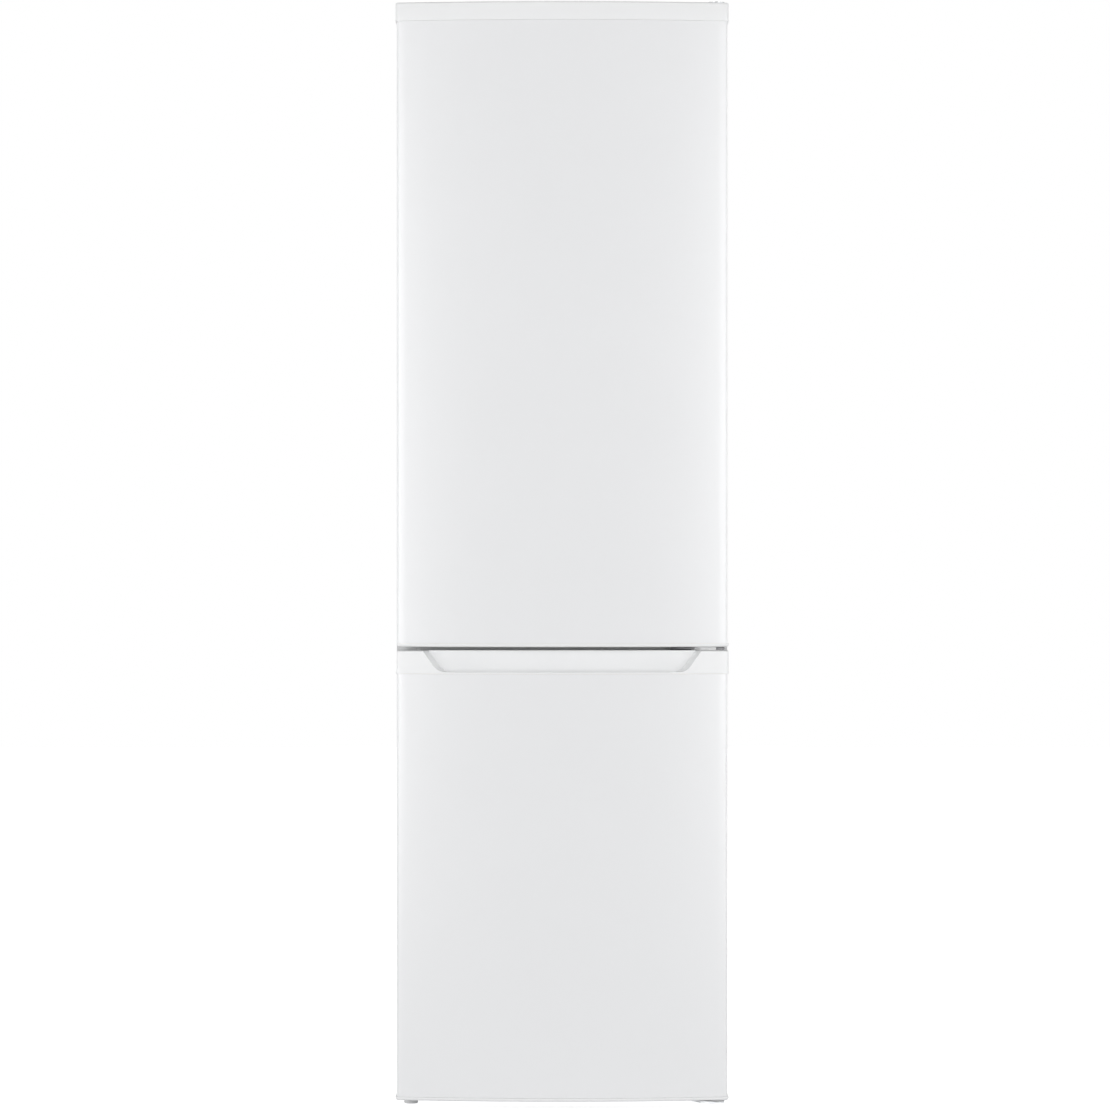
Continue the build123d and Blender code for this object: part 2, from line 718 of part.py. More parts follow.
def freezer_space(grow):
    """The freezer compartment as a solid: full depth above the step over the machinery."""
    with BuildPart() as space:
        with BuildSketch(Plane.YZ.offset(-freezer_half - grow)) as side_view:
            with BuildLine():
                Polyline(
                    (face_y, freezer_floor_z - grow),
                    (step_y + grow, freezer_floor_z - grow),
                    (step_y + grow, step_z - grow),
                    (freezer_back_y + grow, step_z - grow),
                    (freezer_back_y + grow, freezer_ceiling_z + grow),
                    (face_y, freezer_ceiling_z + grow),
                    close=True,
                )
            make_face()
            inner_corners = side_view.vertices().filter_by(lambda corner: corner.X > face_y + 1)
            chamfer(inner_corners, liner_bevel)
        extrude(amount=2 * (freezer_half + grow))
    return space.part


with BuildPart() as freezer_liner:
    add(freezer_space(liner_wall))
    mouth_flange(
        freezer_half,
        freezer_floor_z,
        freezer_ceiling_z,
        flange_half,
        freezer_flange_low_z,
        freezer_flange_high_z,
    )
    add(freezer_space(0), mode=Mode.SUBTRACT)
    rib_front_y = freezer_shelf_front_y + rib_front
    side_ribs(freezer_half, rib_front_y, step_y - liner_bevel, freezer_low_shelf_z)
    side_ribs(freezer_half, rib_front_y, freezer_shelf_back_y, freezer_high_shelf_z)
pieces["freezer_liner"] = freezer_liner.part


# ---- Feet, base plate and rollers ----------------------------------------------------------------
foot_inset = 22.0  # side of the cabinet to the axis of a front foot
foot_setback = 36.0  # face of the cabinet to the axis of a front foot
foot_radius = 11.5
foot_pad = 6.0
foot_collar_radius = 9.0
foot_collar = 9.5
stud_radius = 4.0
stud_top = 40.0
nut_radius = 9.0
nut_height = 8.0
pocket_half = 13.0  # hollow in the foam round each foot
roller_radius = 12.0
roller_width = 16.0
roller_inset = 40.0  # side of the cabinet to the middle of a roller
roller_setback = 26.0  # back of the cabinet to the roller axis
axle_radius = 2.5
ear_thickness = 1.6
ear_half = 9.0
roller_side_gap = 0.6
plate_lip = 12.0

foot_x = half - foot_inset
foot_y = face_y + foot_setback
roller_x = half - roller_inset
roller_y = back_y - roller_setback
ear_inner = roller_width / 2 + roller_side_gap
ear_outer = ear_inner + ear_thickness
base_half = inner_half - seat

with BuildPart() as base_plate:
    plate_front_y = face_y + flange_return + seat
    block((-base_half, plate_front_y, base_z), (base_half, back_y - sheet - seat, plate_top_z))
    lip_low_y = back_y - 2 * sheet - seat
    block((-rear_half, lip_low_y, base_z), (rear_half, lip_low_y + sheet, base_z + plate_lip))
    for side in (-1, 1):
        nut_top_z = plate_top_z + nut_height
        upright_prism(side * foot_x, foot_y, plate_top_z, nut_top_z, nut_radius, 6)
        bore = stud_radius + shaft_fit
        upright_cylinder(side * foot_x, foot_y, base_z, nut_top_z, bore, Mode.SUBTRACT)
        well = roller_radius + 2.0
        block(
            (side * roller_x - ear_inner, roller_y - well, base_z),
            (side * roller_x + ear_inner, roller_y + well, plate_top_z),
            Mode.SUBTRACT,
        )
        axle_room = axle_radius + 2.5
        block(
            (side * roller_x - ear_outer - 5, roller_y - axle_room, base_z),
            (side * roller_x + ear_outer + 5, roller_y + axle_room, plate_top_z),
            Mode.SUBTRACT,
        )
        for flank in (-1, 1):
            ear_x = side * roller_x + flank * (ear_inner + ear_thickness / 2)
            with BuildSketch(Plane.YZ.offset(ear_x - ear_thickness / 2)) as ear:
                with Locations((roller_y, plate_top_z)):
                    ear_drop = plate_top_z - roller_radius + ear_half / 2
                    Rectangle(2 * ear_half, ear_drop, align=(Align.CENTER, Align.MAX))
                    Rectangle(2 * ear_half, ear_half / 2, align=(Align.CENTER, Align.MIN))
                chamfer(ear.vertices(), ear_half / 3)
                with Locations((roller_y, roller_radius)):
                    bore = axle_radius + shaft_fit
                    RegularPolygon(bore, 6, major_radius=False, mode=Mode.SUBTRACT)
            extrude(ear.sketch, amount=ear_thickness)
pieces["base_plate"] = base_plate.part


def roller_axle(side):
    """The pin of one rear roller, headed at its outer end."""
    with BuildPart() as axle:
        with BuildSketch(Plane.YZ.offset(side * roller_x - ear_outer - 2)):
            with Locations((roller_y, roller_radius)):
                Circle(axle_radius)
        extrude(amount=2 * ear_outer + 4)
        head_x = ear_outer + seat if side > 0 else -ear_outer - seat - 2
        with BuildSketch(Plane.YZ.offset(side * roller_x + head_x)):
            with Locations((roller_y, roller_radius)):
                RegularPolygon(axle_radius + 1.5, 6, major_radius=False)
        extrude(amount=2)
    return axle.part


with BuildPart() as roller_axles:
    add(roller_axle(-1))
    add(roller_axle(1))
pieces["roller_axles"] = roller_axles.part


def rear_roller(side):
    """A rear roller: a plain barrel that turns round its axle."""
    with BuildPart() as roller:
        with BuildSketch(Plane.YZ.offset(side * roller_x - roller_width / 2)):
            with Locations((roller_y, roller_radius)):
                Circle(roller_radius)
                Circle(axle_radius + shaft_fit, mode=Mode.SUBTRACT)
        extrude(amount=roller_width)
    return roller.part


pieces["left_roller"] = rear_roller(-1)
pieces["right_roller"] = rear_roller(1)


def front_foot(side):
    """A levelling foot: a round pad, a hexagon to turn it by and the stud's plain form."""
    x = side * foot_x
    with BuildPart() as foot:
        upright_cylinder(x, foot_y, 0, foot_pad, foot_radius)
        upright_prism(x, foot_y, foot_pad, foot_collar, foot_collar_radius, 6)
        upright_cylinder(x, foot_y, foot_collar, stud_top, stud_radius)
    return foot.part


pieces["left_foot"] = front_foot(-1)
pieces["right_foot"] = front_foot(1)

# ---- Foam of the cabinet --------------------------------------------------------------------------
with BuildPart() as cabinet_foam:
    foam_front_y = face_y + flange_return + 2 * seat
    foam_half = inner_half - seat
    foam_low_z = plate_top_z + seat
    block(
        (-foam_half, foam_front_y, foam_low_z),
        (foam_half, back_y - sheet - seat, side_top_z - seat),
    )
    cover_inset = moulding + seat
    block(
        (-half + cover_inset, foam_front_y, side_top_z - 1),
        (half - cover_inset, back_y - cover_inset, cabinet_top_z - cover_inset),
    )
    grow = liner_wall + seat
    block(
        (-fridge_half - grow, face_y, fridge_floor_z - grow),
        (fridge_half + grow, fridge_back_y + grow, fridge_ceiling_z + grow),
        Mode.SUBTRACT,
    )
    block(
        (-freezer_half - grow, face_y, step_z - grow),
        (freezer_half + grow, freezer_back_y + grow, freezer_ceiling_z + grow),
        Mode.SUBTRACT,
    )
    block(
        (-freezer_half - grow, face_y, freezer_floor_z - grow),
        (freezer_half + grow, step_y + grow, step_z),
        Mode.SUBTRACT,
    )
    step_edges = cabinet_foam.edges().filter_by(Axis.X)
    step_edge = step_edges.sort_by_distance((0, step_y + grow, step_z - grow))[0]
    chamfer(step_edge, liner_bevel + bevel_step * grow)
    block(
        (-half, niche_front_y - sheet - seat, 0),
        (half, back_y, niche_top_z + sheet + seat),
        Mode.SUBTRACT,
    )
    for side in (-1, 1):
        block(
            (side * foot_x - pocket_half, foot_y - pocket_half, 0),
            (side * foot_x + pocket_half, foot_y + pocket_half, stud_top + 4),
            Mode.SUBTRACT,
        )
pieces["cabinet_foam"] = cabinet_foam.part

# ---- Shelves ---------------------------------------------------------------------------------------
trim_height = 13.0
trim_depth = 15.0
trim_grip = 9.0  # the trims take the glass this deep
trim_fit = 0.1
trim_inset = 3.0  # end of a trim to the end of its shelf
rear_trim_height = 9.0

with BuildPart() as glass_shelves:
    for level in shelf_levels:
        block((-shelf_half, shelf_front_y, level), (shelf_half, shelf_back_y, level + shelf_glass))
pieces["glass_shelves"] = glass_shelves.part


def shelf_trim(edge_y, inward, level, trim_tall):
    """A moulded rail along one edge of a shelf, with a groove for the glass."""
    outer_y = edge_y - inward * (trim_depth - trim_grip)
    inner_y = edge_y + inward * trim_grip
    low_z = level + shelf_glass / 2 - trim_tall / 2
    length = shelf_half - trim_inset
    with BuildPart() as rail:
        block(
            (-length, min(outer_y, inner_y), low_z),
            (length, max(outer_y, inner_y), low_z + trim_tall),
        )
        nose = rail.edges().filter_by(Axis.X).group_by(Axis.Y)[0 if inward > 0 else -1]
        chamfer(nose, 2)
        groove_y = edge_y - inward * trim_fit
        block(
            (-length, min(groove_y, inner_y), level - trim_fit),
            (length, max(groove_y, inner_y), level + shelf_glass + trim_fit),
            Mode.SUBTRACT,
        )
    return rail.part


with BuildPart() as shelf_trims:
    for level in shelf_levels:
        add(shelf_trim(shelf_front_y, 1, level, trim_height))
        add(shelf_trim(shelf_back_y, -1, level, rear_trim_height))
pieces["shelf_trims"] = shelf_trims.part

with BuildPart() as crisper_cover:
    cover_front_y = face_y + crisper_setback - trim_depth / 2
    block(
        (-shelf_half, cover_front_y, crisper_cover_z),
        (shelf_half, shelf_back_y, crisper_cover_z + shelf_glass),
    )
    nose_high_z = crisper_cover_z + shelf_glass + 1
    block(
        (-shelf_half + trim_inset, cover_front_y - moulding, nose_high_z - trim_height),
        (shelf_half - trim_inset, cover_front_y, nose_high_z),
    )
    chamfer(crisper_cover.edges().filter_by(Axis.X).group_by(Axis.Z)[-1].sort_by(Axis.Y)[0], 2)
pieces["crisper_cover"] = crisper_cover.part

with BuildPart() as freezer_shelves:
    for level in (freezer_low_shelf_z, freezer_high_shelf_z):
        block(
            (-freezer_shelf_half, freezer_shelf_front_y, level),
            (freezer_shelf_half, freezer_shelf_back_y, level + shelf_glass),
        )
    chamfer(freezer_shelves.edges().filter_by(Axis.Z), 4)
pieces["freezer_shelves"] = freezer_shelves.part

# ---- Drawers ---------------------------------------------------------------------------------------
drawer_wall = 2.2
drawer_front_wall = 3.2
drawer_bevel = 8.0
drawer_draft = 1.5
drawer_side_gap = 9.0  # front of a drawer to the side walls
drawer_tub_inset = 10.0  # tub of a drawer inside the width of its front
drawer_head = 9.0  # top of a drawer to the shelf or ceiling above
drawer_back_gap = 12.0
rim_height = 3.0
rim_reach = 5.0
hand_hole_width = 130.0
hand_hole_height = 24.0
hand_hole_drop = 15.0
crisper_side_gap = 14.0
crisper_hole_width = 110.0


def drawer(front_half, front, back, floor, top, hole_width):
    """An open tub with leaning walls, a rim, and a flat front with a hand hole."""
    tub_half = front_half - drawer_tub_inset
    length = back - front
    lean = (top - floor) * tan(radians(drawer_draft))
    centre = (0, (front + back) / 2)
    with BuildPart() as tub:
        with BuildSketch(Plane.XY.offset(floor)) as outside:
            with Locations(centre):
                bevelled(2 * tub_half, length, drawer_bevel)
        extrude(outside.sketch, amount=top - floor, taper=-drawer_draft)
        with BuildSketch(Plane.XY.offset(top)) as rim:
            with Locations(centre):
                bevelled(2 * (tub_half + lean + rim_reach), length + 2 * lean, drawer_bevel)
        extrude(rim.sketch, amount=-rim_height)
        with BuildSketch(Plane.XY.offset(floor + drawer_wall)) as inside:
            with Locations(centre):
                inner_bevel = drawer_bevel - bevel_step * drawer_wall
                bevelled(2 * (tub_half - drawer_wall), length - 2 * drawer_wall, inner_bevel)
        extrude(inside.sketch, amount=top - floor, taper=-drawer_draft, mode=Mode.SUBTRACT)
        block(
            (-front_half, front - 2 * lean - 1, floor - 1),
            (front_half, front, top + 1),
            Mode.SUBTRACT,
        )
        block((-front_half, front, floor), (front_half, front + drawer_front_wall, top))
        chamfer(tub.faces().sort_by(Axis.Y)[0].edges().filter_by(Axis.Z), 1.5)
        hole_z = top - hand_hole_drop - hand_hole_height / 2
        with BuildSketch(Plane.XZ.offset(-front + 1)) as hole:
            with Locations((0, hole_z)):
                bevelled(hole_width, hand_hole_height, hand_hole_height / 3)
        extrude(hole.sketch, amount=-4 * drawer_front_wall, mode=Mode.SUBTRACT)
        block(
            (-front_half, back + lean, floor),
            (front_half, back + 3 * lean + rim_reach, top + 1),
            Mode.SUBTRACT,
        )
    return tub.part


drawer_half = freezer_half - drawer_side_gap
drawer_front_y = face_y + drawer_setback
drawer_back_y = freezer_shelf_back_y - drawer_back_gap
pieces["top_freezer_drawer"] = drawer(
    drawer_half,
    drawer_front_y,
    drawer_back_y,
    freezer_high_shelf_z + shelf_glass + running_gap,
    freezer_ceiling_z - drawer_head,
    hand_hole_width,
)
pieces["middle_freezer_drawer"] = drawer(
    drawer_half,
    drawer_front_y,
    drawer_back_y,
    freezer_low_shelf_z + shelf_glass + running_gap,
    freezer_high_shelf_z - drawer_head - rib_height,
    hand_hole_width,
)
pieces["bottom_freezer_drawer"] = drawer(
    drawer_half,
    drawer_front_y,
    step_y - drawer_back_gap,
    freezer_floor_z + running_gap,
    freezer_low_shelf_z - drawer_head - rib_height,
    hand_hole_width,
)
pieces["crisper_drawer"] = drawer(
    fridge_half - crisper_side_gap,
    face_y + crisper_setback,
    fridge_back_y - liner_bevel - drawer_back_gap,
    fridge_floor_z + running_gap,
    crisper_cover_z - drawer_head - rib_height,
    crisper_hole_width,
)

# ---- Lamp, thermostat and lens -----------------------------------------------------------------------
housing_depth = 34.0  # out from the right wall
housing_front = 70.0  # face of the cabinet to the front of the housing
housing_length = 176.0
housing_height = 104.0
housing_drop = 42.0  # ceiling to the top of the housing
housing_bevel = 7.0
knob_radius = 17.0
knob_height = 15.0
knob_place = 34.0  # front of the housing to the knob's axis
knob_shaft_radius = 3.0
knob_shaft = 12.0
lens_length = 96.0
lens_height = 80.0
lens_depth = 11.0
lens_wall = 1.5
lens_bevel = 8.0
lens_seat = 3.0  # the lens is let into the housing this deep

housing_x = fridge_half - housing_depth
housing_front_y = face_y + housing_front
housing_back_y = housing_front_y + housing_length
housing_high_z = fridge_ceiling_z - housing_drop
housing_mid_z = housing_high_z - housing_height / 2
knob_y = housing_front_y + knob_place
lens_y = housing_back_y - lens_length / 2 - 12.0
housing_plane = Plane((housing_x, 0, 0), x_dir=(0, 1, 0), z_dir=(1, 0, 0))

with BuildPart() as lamp_housing:
    with BuildSketch(housing_plane):
        with Locations(((housing_front_y + housing_back_y) / 2, housing_mid_z)):
            bevelled(housing_length, housing_height, 2 * housing_bevel)
    extrude(amount=housing_depth - seat)
    chamfer(lamp_housing.faces().sort_by(Axis.X)[0].edges(), housing_bevel)
    with BuildSketch(housing_plane) as recess:
        with Locations((lens_y, housing_mid_z)):
            bevelled(lens_length + 2 * seat, lens_height + 2 * seat, lens_bevel)
    extrude(recess.sketch, amount=lens_seat + lens_depth, mode=Mode.SUBTRACT)
    with BuildSketch(housing_plane) as shaft_hole:
        with Locations((knob_y, housing_mid_z)):
            Circle(knob_shaft_radius + shaft_fit)
    extrude(shaft_hole.sketch, amount=knob_shaft + 1, mode=Mode.SUBTRACT)
pieces["lamp_housing"] = lamp_housing.part

with BuildPart() as lamp_lens:
    with BuildSketch(housing_plane.offset(lens_seat)):
        with Locations((lens_y, housing_mid_z)):
            bevelled(lens_length, lens_height, lens_bevel)
    extrude(amount=-lens_depth)
    chamfer(lamp_lens.faces().sort_by(Axis.X)[0].edges(), lens_bevel / 2)
    offset(amount=-lens_wall, openings=lamp_lens.faces().sort_by(Axis.X)[-1])
pieces["lamp_lens"] = lamp_lens.part

with BuildPart() as thermostat_knob:
    with BuildSketch(housing_plane.offset(-running_gap)):
        with Locations((knob_y, housing_mid_z)):
            RegularPolygon(knob_radius, 16, major_radius=False)
    extrude(amount=-knob_height, taper=3)
    with BuildSketch(housing_plane.offset(-running_gap - knob_height)) as grip:
        with Locations((knob_y, housing_mid_z)):
            Rectangle(2 * knob_radius + 4, 2 * knob_radius + 4)
            Rectangle(7, 2 * knob_radius + 4, mode=Mode.SUBTRACT)
    extrude(grip.sketch, amount=knob_height * 0.6, mode=Mode.SUBTRACT)
    with BuildSketch(housing_plane.offset(-running_gap)) as shaft:
        with Locations((knob_y, housing_mid_z)):
            Circle(knob_shaft_radius)
    extrude(shaft.sketch, amount=knob_shaft)
pieces["thermostat_knob"] = thermostat_knob.part

# ---- Hinge brackets ------------------------------------------------------------------------------------
top_tab_left = 84.0  # left end of the top bracket's tab to the side of the cabinet
top_tab_right = 8.0
top_tab_front = 12.0  # face of the cabinet to the front of the tab
top_tab_depth = 54.0
mid_left = 93.0  # left end of the middle bracket to the side of the cabinet
mid_flange_height = 23.0
low_left = 67.0
low_depth = 58.0  # face of the cabinet to the back of the lower bracket
bracket_side = 6.0  # right side of a bracket to the side of the cabinet
arm_z = fridge_door_top_z + bush_flange + running_gap
cover_wall = 1.5
screw_radius = 2.5
screw_head_radius = 4.2
screw_head = 2.2
screw_hole = screw_radius + 0.2

bracket_right = half - bracket_side
mid_plate_low = gap_level - plate / 2
mid_plate_high = gap_level + plate / 2
tab_front_y = face_y + top_tab_front
tab_back_y = tab_front_y + top_tab_depth
top_screws = [
    Plane((half - top_tab_left + 14, tab_back_y - 14, cabinet_top_z)),
    Plane((half - top_tab_left / 2, tab_back_y - 30, cabinet_top_z)),
    Plane((half - top_tab_right - 14, tab_back_y - 14, cabinet_top_z)),
]
mid_screw_z = split_level + plate / 2 + screw_head_radius + 2
mid_screws = [
    Plane((half - mid_left + 14, face_y - seat, mid_screw_z), z_dir=(0, -1, 0)),
    Plane((half - mid_left + 52, face_y - seat, mid_screw_z), z_dir=(0, -1, 0)),
]
low_screws = [
    Plane((half - low_left + 12, face_y + 16, base_z), z_dir=(0, 0, -1)),
    Plane((half - low_left + 12, face_y + 46, base_z), z_dir=(0, 0, -1)),
]


def six_sided_rod(place, reach, length, mode=Mode.ADD):
    """A six-sided rod standing on a plane, the form of a screw's head, shank or hole."""
    with BuildSketch(place) as outline:
        RegularPolygon(reach, 6, major_radius=False)
    extrude(outline.sketch, amount=length, mode=mode)


def bracket_plan(level, left, back, shoulder):
    """Plan of a hinge plate: a straight back, a slanting left edge and a round nose."""
    with BuildSketch(Plane.XY.offset(level)) as plan:
        with BuildLine():
            Polyline(
                (left, back),
                (left, shoulder),
                (hinge_x - 2 * hinge_nose, hinge_y - hinge_nose / 2),
                (hinge_x, hinge_y - hinge_nose),
                (hinge_x, hinge_y),
                (bracket_right, hinge_y),
                (bracket_right, back),
                close=True,
            )
        make_face()
        with Locations((hinge_x, hinge_y)):
            Circle(hinge_nose)
    return plan.sketch


with BuildPart() as top_hinge_bracket:
    block(
        (half - top_tab_left, tab_front_y, cabinet_top_z),
        (half - top_tab_right, tab_back_y, cabinet_top_z + top_arm_plate),
    )
    chamfer(top_hinge_bracket.edges().filter_by(Axis.Z).group_by(Axis.Y)[-1], 5)
    block(
        (hinge_x - hinge_nose, tab_front_y - top_arm_plate, cabinet_top_z),
        (bracket_right, tab_front_y, arm_z + top_arm_plate),
    )
    with BuildSketch(Plane.XY.offset(arm_z)) as arm:
        with Locations((hinge_x, hinge_y)):
            Circle(hinge_nose)
        with Locations((hinge_x - hinge_nose, hinge_y)):
            Rectangle(
                hinge_nose + bracket_right - hinge_x,
                tab_front_y - hinge_y,
                align=(Align.MIN, Align.MIN),
            )
    extrude(arm.sketch, amount=top_arm_plate)
    upright_cylinder(hinge_x, hinge_y, arm_z - pin_length, arm_z, pin_radius)
    for place in top_screws:
        six_sided_rod(place, screw_hole, top_arm_plate, Mode.SUBTRACT)
pieces["top_hinge_bracket"] = top_hinge_bracket.part

with BuildPart() as middle_hinge_bracket:
    mid_plan = bracket_plan(mid_plate_low, half - mid_left, face_y - seat, face_y - plate - 15)
    extrude(mid_plan, amount=plate)
    block(
        (half - mid_left, face_y - seat - plate, split_level - mid_flange_height / 2),
        (bracket_right, face_y - seat, split_level + mid_flange_height / 2),
    )
    upright_cylinder(
        hinge_x, hinge_y, mid_plate_low - pin_length, mid_plate_high + pin_length, pin_radius
    )
    for place in mid_screws:
        six_sided_rod(place, screw_hole, plate, Mode.SUBTRACT)
pieces["middle_hinge_bracket"] = middle_hinge_bracket.part

with BuildPart() as lower_hinge_bracket:
    low_back_y = face_y + low_depth
    extrude(bracket_plan(base_z - plate, half - low_left, low_back_y, face_y - plate), amount=plate)
    upright_cylinder(hinge_x, hinge_y, base_z - plate, base_z + pin_length, pin_radius)
    upright_cylinder(
        foot_x, foot_y, base_z - plate, base_z, stud_radius + running_gap, Mode.SUBTRACT
    )
    for place in low_screws:
        six_sided_rod(place, screw_hole, plate, Mode.SUBTRACT)
pieces["lower_hinge_bracket"] = lower_hinge_bracket.part

with BuildPart() as top_hinge_cover:
    block(
        (half - top_tab_left - 4, tab_front_y + seat, cabinet_top_z),
        (half - 2, tab_back_y + 10, height),
    )
    chamfer(top_hinge_cover.edges().filter_by(Axis.Z).group_by(Axis.Y)[-1], 8)
    chamfer(top_hinge_cover.faces().sort_by(Axis.Z)[-1].edges(), 2)
    offset(amount=-cover_wall, openings=top_hinge_cover.faces().sort_by(Axis.Z)[0])
    slot_high_z = cabinet_top_z + top_arm_plate + seat
    block(
        (half - top_tab_left - 1, tab_front_y, cabinet_top_z),
        (half - top_tab_right + 1, tab_front_y + 2 * cover_wall, slot_high_z),
        Mode.SUBTRACT,
    )
pieces["top_hinge_cover"] = top_hinge_cover.part

sleeve_left = half - 59.0
sleeve_right = hinge_x - bush_flange_radius - 2.0
sleeve_wall = (door_gap - plate) / 2 - seat - running_gap
skirt_right = hinge_x - 1.0
with BuildPart() as middle_hinge_cover:
    sleeve_front_y = hinge_y - hinge_nose + 2.0
    sleeve_back_y = face_y - plate - 6.0
    with BuildSketch(Plane.XY.offset(mid_plate_low - seat - sleeve_wall)):
        with BuildLine():
            Polyline(
                (sleeve_left, sleeve_back_y),
                (sleeve_left, hinge_y + 3),
                (sleeve_right - 14, sleeve_front_y - 2),
                (sleeve_right, sleeve_front_y - 4),
                (sleeve_right, sleeve_back_y),
                close=True,
            )
        make_face()
    extrude(amount=plate + 2 * seat + 2 * sleeve_wall)
    slot_plan = bracket_plan(
        mid_plate_low - seat, half - mid_left, face_y - seat, face_y - plate - 15 - seat
    )
    extrude(slot_plan, amount=plate + 2 * seat, mode=Mode.SUBTRACT)
    block(
        (sleeve_right - sleeve_wall, sleeve_front_y - 4, mid_plate_low - seat - sleeve_wall),
        (skirt_right, hinge_y - hinge_nose - seat, mid_plate_high + seat + sleeve_wall),
    )
pieces["middle_hinge_cover"] = middle_hinge_cover.part


def screw(place, shank):
    """A screw: a low six-sided head, its shank running back into what it holds."""
    six_sided_rod(place, screw_head_radius, screw_head)
    six_sided_rod(place, screw_radius, -shank)


with BuildPart() as hinge_screws:
    for place in top_screws:
        screw(place.offset(top_arm_plate), top_arm_plate - trim_fit)
    for place in mid_screws:
        screw(place.offset(plate), plate - trim_fit)
    for place in low_screws:
        screw(place.offset(plate), plate - trim_fit)
pieces["hinge_screws"] = hinge_screws.part

# ---- Machine compartment ---------------------------------------------------------------------------------
compressor_x = 20.0
compressor_half_length = 92.0
compressor_half_width = 68.0
compressor_height = 138.0
compressor_dome = 34.0
seam_rise = 78.0  # underside of the shell to the weld seam
seam_step = 4.0  # the upper shell stands inside the rim of the lower one
mount_height = 13.0  # rubber mounts, base plate to the compressor's foot plate
mount_x = 84.0
mount_y = 52.0
mount_radius = 11.0
mount_neck = 5.5
relay_width = 34.0
relay_length = 62.0
relay_height = 66.0
tray_gap = 0.3  # top of the compressor to the evaporation tray
tray_length = 190.0
tray_width = 128.0
tray_height = 24.0
tray_wall = 2.0
tray_bevel = 10.0
drain_radius = 7.0
drier_x = 150.0  # side of the compartment's middle to the filter drier
drier_radius = 9.0
drier_length = 92.0
pipe_radius = 3.2
capillary_radius = 1.6
gland_x = 222.0
gland_rise = 60.0

compressor_y = (niche_front_y + back_y) / 2
shell_low_z = plate_top_z + mount_height + sheet * 3
shell_top_z = shell_low_z + compressor_height
tray_low_z = shell_top_z + tray_gap
mount_places = [(sx * mount_x, sy * mount_y) for sx in (-1, 1) for sy in (-1, 1)]



def shell_reach(x):
    """Half width of the oval shell at a place along its length."""
    return compressor_half_width * sqrt(1 - (x / compressor_half_length) ** 2)


with BuildPart() as compressor:
    with BuildSketch(Plane.XY.offset(shell_low_z)):
        with Locations((compressor_x, compressor_y)):
            Ellipse(compressor_half_length, compressor_half_width)
    extrude(amount=seam_rise)
    with BuildSketch(Plane.XY.offset(shell_low_z + seam_rise)):
        with Locations((compressor_x, compressor_y)):
            Ellipse(compressor_half_length - seam_step, compressor_half_width - seam_step)
    extrude(amount=compressor_height - seam_rise)
    chamfer(compressor.edges().group_by(Axis.Z)[-1], compressor_dome)
    with BuildSketch(Plane.XY.offset(shell_low_z - 3 * sheet)):
        with Locations((compressor_x, compressor_y)):
            foot_length = 2 * (mount_x + mount_radius)
            bevelled(foot_length, 2 * (mount_y + mount_radius), mount_radius - 3)
            for place in mount_places:
                with Locations(place):
                    eye = 2 * (mount_neck + running_gap)
                    Rectangle(eye, eye, mode=Mode.SUBTRACT)
    extrude(amount=3 * sheet)
    stub_z = shell_low_z + seam_rise - 22
    for stub_x in (-60, -44, 52):
        stub_y = compressor_y + shell_reach(stub_x)
        with BuildSketch(Plane.XZ.offset(-stub_y - 10)) as stub:
            with Locations((compressor_x + stub_x, stub_z)):
                RegularPolygon(pipe_radius + 0.8, 8, major_radius=False)
        extrude(stub.sketch, amount=20)
pieces["compressor"] = compressor.part

with BuildPart() as compressor_grommets:
    neck_z = plate_top_z + mount_height + 3 * sheet + 2 * seat
    for mount in mount_places:
        x = compressor_x + mount[0]
        y = compressor_y + mount[1]
        upright_prism(x, y, plate_top_z, plate_top_z + mount_height, mount_radius, 8)
        upright_prism(x, y, plate_top_z + mount_height, neck_z, mount_neck, 4)
        upright_prism(x, y, neck_z, neck_z + 4, mount_neck + 2, 8)
pieces["compressor_grommets"] = compressor_grommets.part

with BuildPart() as relay_cover:
    relay_x = compressor_x + compressor_half_length + running_gap
    relay_low_z = shell_low_z + 14
    block(
        (relay_x, compressor_y - relay_length / 2, relay_low_z),
        (relay_x + relay_width, compressor_y + relay_length / 2, relay_low_z + relay_height),
    )
    chamfer(relay_cover.edges().filter_by(Axis.Y).group_by(Axis.X)[-1], 8)
pieces["relay_cover"] = relay_cover.part

with BuildPart() as evaporation_tray:
    with BuildSketch(Plane.XY.offset(tray_low_z)) as outside:
        with Locations((compressor_x, compressor_y)):
            bevelled(tray_length, tray_width, tray_bevel)
    extrude(outside.sketch, amount=tray_height, taper=-6)
    with BuildSketch(Plane.XY.offset(tray_low_z + tray_wall)) as inside:
        with Locations((compressor_x, compressor_y)):
            inner_bevel = tray_bevel - bevel_step * tray_wall
            bevelled(tray_length - 2 * tray_wall, tray_width - 2 * tray_wall, inner_bevel)
    extrude(inside.sketch, amount=tray_height, taper=-6, mode=Mode.SUBTRACT)
pieces["evaporation_tray"] = evaporation_tray.part

drain_y = niche_front_y + 45
drain_low_z = tray_low_z + tray_height / 2
with BuildPart() as drain_tube:
    upright_prism(compressor_x, drain_y, drain_low_z, niche_top_z - seat, drain_radius, 8)
    bore = drain_radius - 1.5
    upright_prism(compressor_x, drain_y, drain_low_z, niche_top_z, bore, 8, Mode.SUBTRACT)
pieces["drain_tube"] = drain_tube.part

drier_y = back_y - 46.0
drier_low_z = plate_top_z + 34.0
drier_top_z = drier_low_z + drier_length
with BuildPart() as filter_drier:
    upright_prism(-drier_x, drier_y, drier_low_z, drier_top_z, pipe_radius + 0.8, 12)
    upright_prism(-drier_x, drier_y, drier_low_z + 10, drier_top_z - 10, drier_radius, 12)
    ends = filter_drier.faces().filter_by(Axis.Z).sort_by(SortBy.AREA)[-2:]
    chamfer(ends.edges().filter_by(lambda edge: edge.length > pipe_radius), 3)
pieces["filter_drier"] = filter_drier.part


